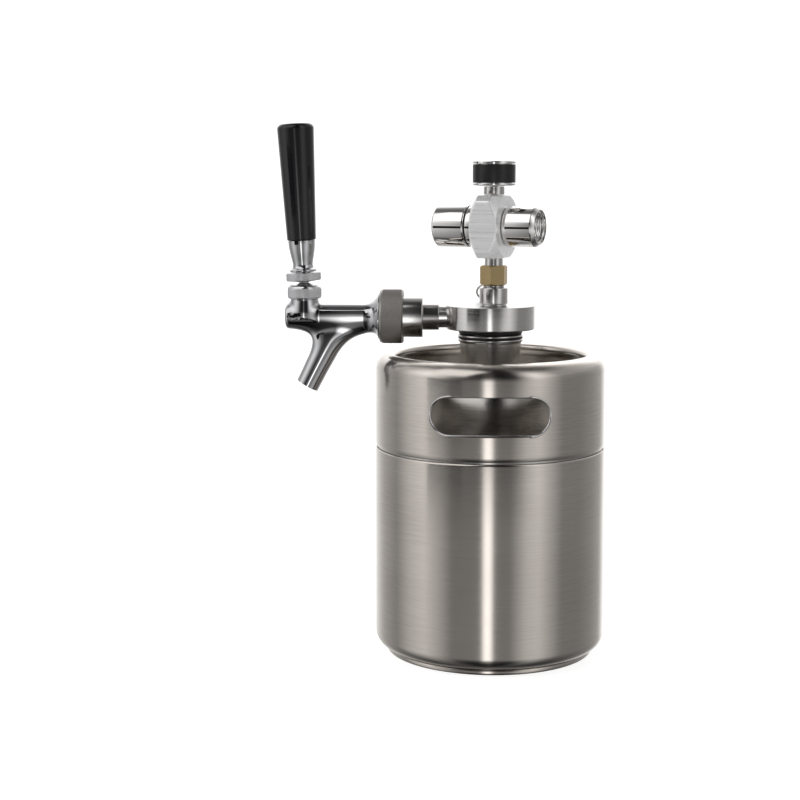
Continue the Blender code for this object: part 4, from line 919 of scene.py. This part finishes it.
# %% Block
BLOCK_END = 9.8 * MM
FLAT_HALF = BLOCK_HALF - 4.05 * MM
CONE = tan(radians(51.7))
ROUND = 0.45 * MM


def soft_less(a, b, blend):
    """Largest of two distances with the crease between them rounded."""
    h = np.clip(1 - np.abs(a - b) / blend, 0, 1)
    return np.maximum(a, b) + h * h * blend / 4


def block_field(x, y, z):
    """Square bar, its corner bevels and the cone at both ends, each as a distance below zero."""
    square = soft_less(np.abs(x) - BLOCK_HALF, np.abs(y) - BLOCK_HALF, ROUND)
    bevel = (np.abs(x) + np.abs(y) - BLOCK_HALF - FLAT_HALF) / np.sqrt(2)
    bar = soft_less(square, bevel, ROUND)
    run = np.hypot(x, y) - (BLOCK_HALF - 0.2 * MM) - (BLOCK_END - np.abs(z)) * CONE
    cone = run / np.hypot(1, CONE)
    return soft_less(soft_less(bar, cone, ROUND), np.abs(z) - BLOCK_END, ROUND)


def block_mesh(name, columns=288):
    """Rays from the middle of each cross-section, stretched by bisection until they meet the skin."""
    a = np.linspace(0, 2 * pi, columns, endpoint=False)[None, :]
    z = np.concatenate([[-1], -np.cos(np.linspace(0, pi, 73)), [1]])[:, None] * BLOCK_END
    z = z + 0 * a
    near = np.zeros_like(z)
    far = np.full_like(z, 30 * MM)
    for turn in range(40):
        middle = (near + far) / 2
        outside = block_field(middle * np.cos(a), middle * np.sin(a), z * 0.99999) > 0
        far = np.where(outside, middle, far)
        near = np.where(outside, near, middle)
    r = near
    r[0] = r[-1] = 0
    points = np.stack([r * np.cos(a), r * np.sin(a), z], axis=-1)
    return piece_from(name, moved(points, REGULATOR), grid_faces(len(z), columns, False, True), 25)


block = block_mesh("turned_block")
way_r, way_end = 1.5 * MM, 12 * MM
way = [(0, -way_end), (way_r, -way_end), (way_r, way_end), (0, way_end)]
carved(block, coarse("way", way, REGULATOR, 48))
block.data.shade_smooth()
block.data.set_sharp_from_angle(angle=radians(25))

# %% [markdown]
# The block's faces are ground across, so its scratches run along the bar rather than round it.
# They need the bar's own axes, so its noise is read after a turn about Z.

# %% Ground silver finish
block_silver, tree, shader = new_finish("block_silver")
shader.inputs["Metallic"].default_value = 0.55
where = tree.nodes.new("ShaderNodeTexCoord")
turned_back = tree.nodes.new("ShaderNodeMapping")
turned_back.inputs["Rotation"].default_value = (0, 0, -SWING)
stretched = tree.nodes.new("ShaderNodeMapping")
stretched.inputs["Scale"].default_value = (14, 1300, 1300)
scratches = tree.nodes.new("ShaderNodeTexNoise")
scratches.inputs["Scale"].default_value = 1
scratches.inputs["Detail"].default_value = 4
tree.links.new(where.outputs["Object"], turned_back.inputs["Vector"])
tree.links.new(turned_back.outputs["Vector"], stretched.inputs["Vector"])
tree.links.new(stretched.outputs["Vector"], scratches.inputs["Vector"])
grain = scratches.outputs["Fac"]
shade = ramp(tree, grain, 0.3, (0.86, 0.86, 0.86), 0.7, (0.98, 0.98, 0.98))
tree.links.new(shade, shader.inputs["Base Color"])
varied_roughness(tree, shader, grain, 0.26, 0.40)
bumped(tree, shader, grain, 0.15, 0.00004)
dressed(block, "regulator", ["regulator_block"], "block_silver", block_silver)

# %% [markdown]
# The cap is nickel plated and closes the spring's side, and a dark ring sits in its groove. The
# groove and the ring are spun from their own outlines, with a hair of air between them.

# %% Spring cap with its seal ring
cap = lathe("domed_spring_cap", [
    (0, -40.1 * MM, 0), (13.6 * MM, -40.1 * MM, 0.5 * MM), (14.55 * MM, -38.9 * MM, 0.6 * MM),
    (14.55 * MM, -17.9 * MM, 0.3 * MM), (14.2 * MM, -17.3 * MM, 0.2 * MM), (14.2 * MM, -16.9 * MM, 0.1 * MM),
    (13.2 * MM, -16.9 * MM, 0.1 * MM), (13.2 * MM, -15.6 * MM, 0.1 * MM), (14.2 * MM, -15.6 * MM, 0.2 * MM),
    (14.2 * MM, -11.6 * MM, 0.8 * MM), (12.9 * MM, -10.1 * MM, 0.3 * MM), (10.15 * MM, -10.1 * MM, 0),
    (10.15 * MM, -17.9 * MM, 0), (12.15 * MM, -17.9 * MM, 0), (12.15 * MM, -37.7 * MM, 0), (0, -37.7 * MM, 0),
], REGULATOR, 128)
dressed(cap, "regulator", ["spring_cap"], "regulator_chrome", nickel)
cap_ring = lathe("cap_o_ring", [
    (13.35 * MM, -16.8 * MM, 0.2 * MM), (13.95 * MM, -16.8 * MM, 0.4 * MM),
    (13.95 * MM, -15.7 * MM, 0.4 * MM), (13.35 * MM, -15.7 * MM, 0.2 * MM),
], REGULATOR, 128)
dressed(cap_ring, "regulator", ["cap_seal_ring"], "seal_rubber", rubber)

# %% [markdown]
# The cartridge screws into the socket, so its bore carries a thread. A thread is the same kind of
# displacement as a knurl: the depth follows a triangle wave of z / pitch - a / 2 pi.

# %% Cartridge socket
SOCKET_R = 13.75 * MM
FAR = 33.2 * MM
BORE_R = 9.65 * MM


def threaded_socket(name, columns=144):
    """Outline from the back, over the outside to the mouth, then down the threaded bore."""
    outside = softened([
        (1.9 * MM, 10.1 * MM, 0), (12.6 * MM, 10.1 * MM, 0.2 * MM), (SOCKET_R, 11.4 * MM, 0.6 * MM),
        (SOCKET_R, FAR - 2.6 * MM, 0.5 * MM), (SOCKET_R - 2.1 * MM, FAR, 0.4 * MM), (11 * MM, FAR, 0.3 * MM),
        (11 * MM, FAR - 1.4 * MM, 0.2 * MM), (BORE_R, FAR - 1.6 * MM, 0.1 * MM), (BORE_R, FAR - 3 * MM, 0),
    ])
    a = np.linspace(0, 2 * pi, columns, endpoint=False)[None, :]
    z = np.linspace(FAR - 2.2 * MM, 17 * MM, 96)[:, None]
    phase = z / (1.25 * MM) - a / (2 * pi)
    fade = np.clip((FAR - 2.2 * MM - z) / (1 * MM), 0, 1) * np.clip((z - 17 * MM) / (1 * MM), 0, 1)
    r = BORE_R - 0.55 * MM * triangle_wave(phase) * fade
    thread = np.stack([r * np.cos(a), r * np.sin(a), z + 0 * a], axis=-1)
    floor = spun(np.array([(BORE_R, 14 * MM), (1.9 * MM, 14 * MM)]), columns)
    points = np.concatenate([spun(outside[:-1], columns), thread, floor])
    return piece_from(name, moved(points, REGULATOR), grid_faces(len(points), columns, True, True), 50)


dressed(threaded_socket("threaded_socket"), "regulator", ["cartridge_socket"], "regulator_chrome", nickel)

# %% [markdown]
# The knob has a plated band at each end and a black sleeve between them. Three lathe outlines
# make it, since the sleeve is a separate piece on the real one.

# %% Knob and its stem
knob_stem = lathe("plated_knob_stem", [
    (2.9 * MM, knob_stem_low[2], 0), (7.15 * MM, knob_stem_low[2], 0.5 * MM),
    (7.15 * MM, knob_stem_high[2], 0.5 * MM), (2.9 * MM, knob_stem_high[2], 0),
], GAS_UP, 96)
dressed(knob_stem, "regulator", ["knob_stem"], "turned_steel", turned_steel)

KNOB_R = (knob_high[0] - knob_low[0]) / 2
kt = knob_high[2]
kb = kt - 16.6 * MM
knob = lathe("banded_knob", [
    (0, kt, 0), (KNOB_R - 0.3 * MM, kt, 0.6 * MM), (KNOB_R, kt - 0.4 * MM, 0.4 * MM),
    (KNOB_R, kt - 1.8 * MM, 0.25 * MM),
    (12.2 * MM, kt - 1.8 * MM, 0), (12.2 * MM, kb + 1.8 * MM, 0), (KNOB_R, kb + 1.8 * MM, 0.25 * MM),
    (KNOB_R, kb + 0.6 * MM, 0.6 * MM), (KNOB_R - 1 * MM, kb, 0.4 * MM), (2.6 * MM, kb, 0),
    (2.6 * MM, knob_low[2], 0), (0, knob_low[2], 0),
], GAS_UP, 144)
dressed(knob, "knob", ["knob_core"], "regulator_chrome", nickel)
sleeve = lathe("black_knob_sleeve", [
    (12.5 * MM, kb + 2.1 * MM, 0), (14.4 * MM, kb + 2.1 * MM, 0.5 * MM),
    (14.4 * MM, kt - 2.1 * MM, 0.5 * MM), (12.5 * MM, kt - 2.1 * MM, 0),
], GAS_UP, 144)
dressed(sleeve, "knob", ["knob_sleeve"], "sleeve_plastic", sleeve_black)

# %% [markdown]
# ## Pieces kept from the solid model
# What hides inside stays as the plain solids: springs, seals, the needle and the dip tube. They
# get the same finishes, so that a pose that opens the keg shows the right metal.

# %% Finishes of the kept solids
inner = {
    "turned_steel": (turned_steel, ["head_plug", "dip_tube", "gas_poppet_spring", "relief_stem",
                                    "relief_spring", "faucet_shaft", "regulator_spring", "piercing_pin"]),
    "seal_rubber": (rubber, ["dip_tube_seal", "shank_seal", "coupling_washer", "friction_washer",
                             "ball_washer", "shaft_seat_washer", "union_washer", "socket_seal"]),
    "nut_brass": (brass, ["gas_poppet", "regulator_piston", "valve_needle"]),
}
for slot_name, (material, names) in inner.items():
    for node_name in names:
        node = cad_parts[node_name]
        node.data.materials.clear()
        node.data.materials.append(material)
    print(slot_name, "on", len(names), "kept solids")

# %% [markdown]
# ## Studio
# Polished steel shows its surroundings more than itself, so the studio is built for reflections.
# The surround is a sky of two curves: one follows the compass angle phi = atan2(x, -y), which is
# 0 towards the camera, and one the height. Bright and dark bands in phi become the upright bands
# on the keg, since a cylinder's normal at angle b reflects the surround at phi = 2 b.

# %% Surround
world = bpy.data.worlds.new("studio")
bpy.context.scene.world = world
world.use_nodes = True
tree = world.node_tree
background = tree.nodes["Background"]
direction = tree.nodes.new("ShaderNodeTexCoord")
split = tree.nodes.new("ShaderNodeSeparateXYZ")
tree.links.new(direction.outputs["Generated"], split.inputs[0])


def world_math(operation, a, b):
    node = tree.nodes.new("ShaderNodeMath")
    node.operation = operation
    for socket, value in zip(node.inputs, (a, b)):
        if isinstance(value, (int, float)):
            socket.default_value = value
        else:
            tree.links.new(value, socket)
    return node.outputs[0]


def world_curve(source, lowest, highest, stops):
    """A grey that follows source from lowest to highest. Each stop is (value of source, grey)."""
    spread = tree.nodes.new("ShaderNodeMapRange")
    spread.inputs["From Min"].default_value = lowest
    spread.inputs["From Max"].default_value = highest
    tree.links.new(source, spread.inputs["Value"])
    node = tree.nodes.new("ShaderNodeValToRGB")
    elements = node.color_ramp.elements
    while len(elements) < len(stops):
        elements.new(0.5)
    for element, (at, value) in zip(elements, stops):
        element.position = (at - lowest) / (highest - lowest)
        element.color = (value, value, value, 1)
    tree.links.new(spread.outputs["Result"], node.inputs[0])
    return node.outputs[0]


toward_camera = world_math("MULTIPLY", split.outputs["Y"], -1)
phi = world_math("ARCTAN2", split.outputs["X"], toward_camera)
degrees = world_math("MULTIPLY", phi, 180 / pi)
rise = world_math("MULTIPLY", world_math("ARCSINE", split.outputs["Z"], 0), 180 / pi)
round_about = world_curve(degrees, -180, 180, [
    (-180, 1.0), (-160, 0.8), (-130, 0.40), (-106, 0.26), (-86, 0.56), (-68, 0.72), (-54, 0.52), (-38, 0.22),
    (-8, 0.26), (-4.5, 1.9), (1, 1.9), (4.5, 0.26), (20, 0.24), (36, 0.60), (50, 0.66), (62, 0.44), (76, 0.21),
    (100, 0.21), (122, 0.28), (142, 0.40), (160, 1.0), (180, 1.0),
])
ahead_height = world_curve(rise, -90, 90, [
    (-90, 0.02), (-60, 0.02), (-36, 0.12), (-26, 0.8), (-20, 1.0), (-9, 1.0), (-3, 0.55), (6, 0.25), (20, 0.04),
    (90, 0.02),
])
side_height = world_curve(rise, -90, 90, [
    (-90, 0.10), (-60, 0.16), (-34, 0.60), (-16, 1.0), (10, 1.1), (24, 1.7), (46, 1.5), (60, 0.4), (90, 0.10),
])
sideways = world_curve(world_math("ABSOLUTE", degrees, 0), 0, 180, [(26, 0.0), (46, 1.0)])
up_and_down = world_math("ADD", world_math("MULTIPLY", side_height, sideways), world_math(
    "MULTIPLY", ahead_height, world_math("SUBTRACT", 1, sideways)))
behind = world_curve(toward_camera, -1, 1, [(-1, 1.0), (-0.93, 1.0), (-0.8, 0.0)])
low_sky = world_curve(rise, -90, 90, [(-50, 0.0), (-20, 1.0), (30, 1.0), (48, 0.0)])
backdrop_light = world_math("MULTIPLY", behind, low_sky)
band = world_math("MULTIPLY", round_about, up_and_down)
sky = world_math("MAXIMUM", world_math("MULTIPLY", band, 1.25), backdrop_light)
tree.links.new(sky, background.inputs["Color"])
background.inputs["Strength"].default_value = 1.0
print("surround made of", len(tree.nodes), "nodes")

# %% [markdown]
# Two cards do the rest: a large one high on the left, which whitens the upper half of the
# regulator, and a thin black one below it, which draws the dark line along its middle. The floor
# is lit evenly. It is left out of the reflections, where the lower sky stands in for it.


# %% Cards
def card(name, azimuth, elevation, distance, width, height, strength):
    """A rectangle that faces the regulator from the given direction, unseen by the camera."""
    az, el = radians(azimuth), radians(elevation)
    toward = np.array([sin(az) * cos(el), -cos(az) * cos(el), sin(el)])
    middle = np.array([GAS[0], GAS[1], REGULATOR_Z])
    place = aimed(tuple(middle + toward * distance), tuple(-toward))
    x, y = width / 2, height / 2
    flat = np.array([(-x, -y, 0), (x, -y, 0), (x, y, 0), (-x, y, 0)])
    mesh = bpy.data.meshes.new(name)
    mesh.from_pydata(moved(flat, place).tolist(), [], [(0, 1, 2, 3)])
    made = bpy.data.objects.new(name, mesh)
    bpy.context.scene.collection.objects.link(made)
    material, tree, shader = new_finish(name)
    shader.inputs["Base Color"].default_value = (0, 0, 0, 1)
    shader.inputs["Specular IOR Level"].default_value = 0
    shader.inputs["Emission Color"].default_value = (1, 1, 1, 1)
    shader.inputs["Emission Strength"].default_value = strength
    mesh.materials.append(material)
    made.visible_camera = False
    made.visible_shadow = False
    made.visible_diffuse = False
    print(name, width, "x", height, "m, glow", strength)
    return made


card("high_left_card", -45, 47, 1.4, 1.0, 1.15, 1.25)
card("dark_card", -45, -5.5, 1.4, 0.9, 0.26, 0.01)

# %% [markdown]
# A plain pale floor. Its glow stands in for a lit table, and reflections don't see it.

# %% Floor
floor_mesh = bpy.data.meshes.new("floor")
floor_mesh.from_pydata([(-9, -9, 0), (9, -9, 0), (9, 9, 0), (-9, 9, 0)], [], [(0, 1, 2, 3)])
floor = bpy.data.objects.new("floor", floor_mesh)
bpy.context.scene.collection.objects.link(floor)
floor_white, tree, shader = new_finish("floor_white")
shader.inputs["Base Color"].default_value = (0.8, 0.8, 0.8, 1)
shader.inputs["Roughness"].default_value = 0.9
shader.inputs["Specular IOR Level"].default_value = 0
shader.inputs["Emission Color"].default_value = (1, 1, 1, 1)
shader.inputs["Emission Strength"].default_value = 0.8
floor_mesh.materials.append(floor_white)
floor.visible_glossy = False
print("floor", floor.dimensions[0], "m across")

# %% [markdown]
# A long lens from a little above keeps the keg's sides nearly upright. The lens is shifted and
# not tilted further, so upright lines stay upright.

# %% Camera
lens = bpy.data.cameras.new("camera")
lens.lens = 75
lens.sensor_width = 36
lens.clip_end = 30
lens.shift_y = -0.0986
camera = bpy.data.objects.new("camera", lens)
bpy.context.scene.collection.objects.link(camera)
camera.location = (float(KEG[0]), -1.13, 0.3238)
camera.rotation_euler = (radians(90 - 5), 0, radians(3.12))
scene = bpy.context.scene
scene.camera = camera
scene.view_settings.view_transform = "Standard"
print("camera", round(-camera.location.y, 2), "m away, with a lens of", lens.lens, "mm")
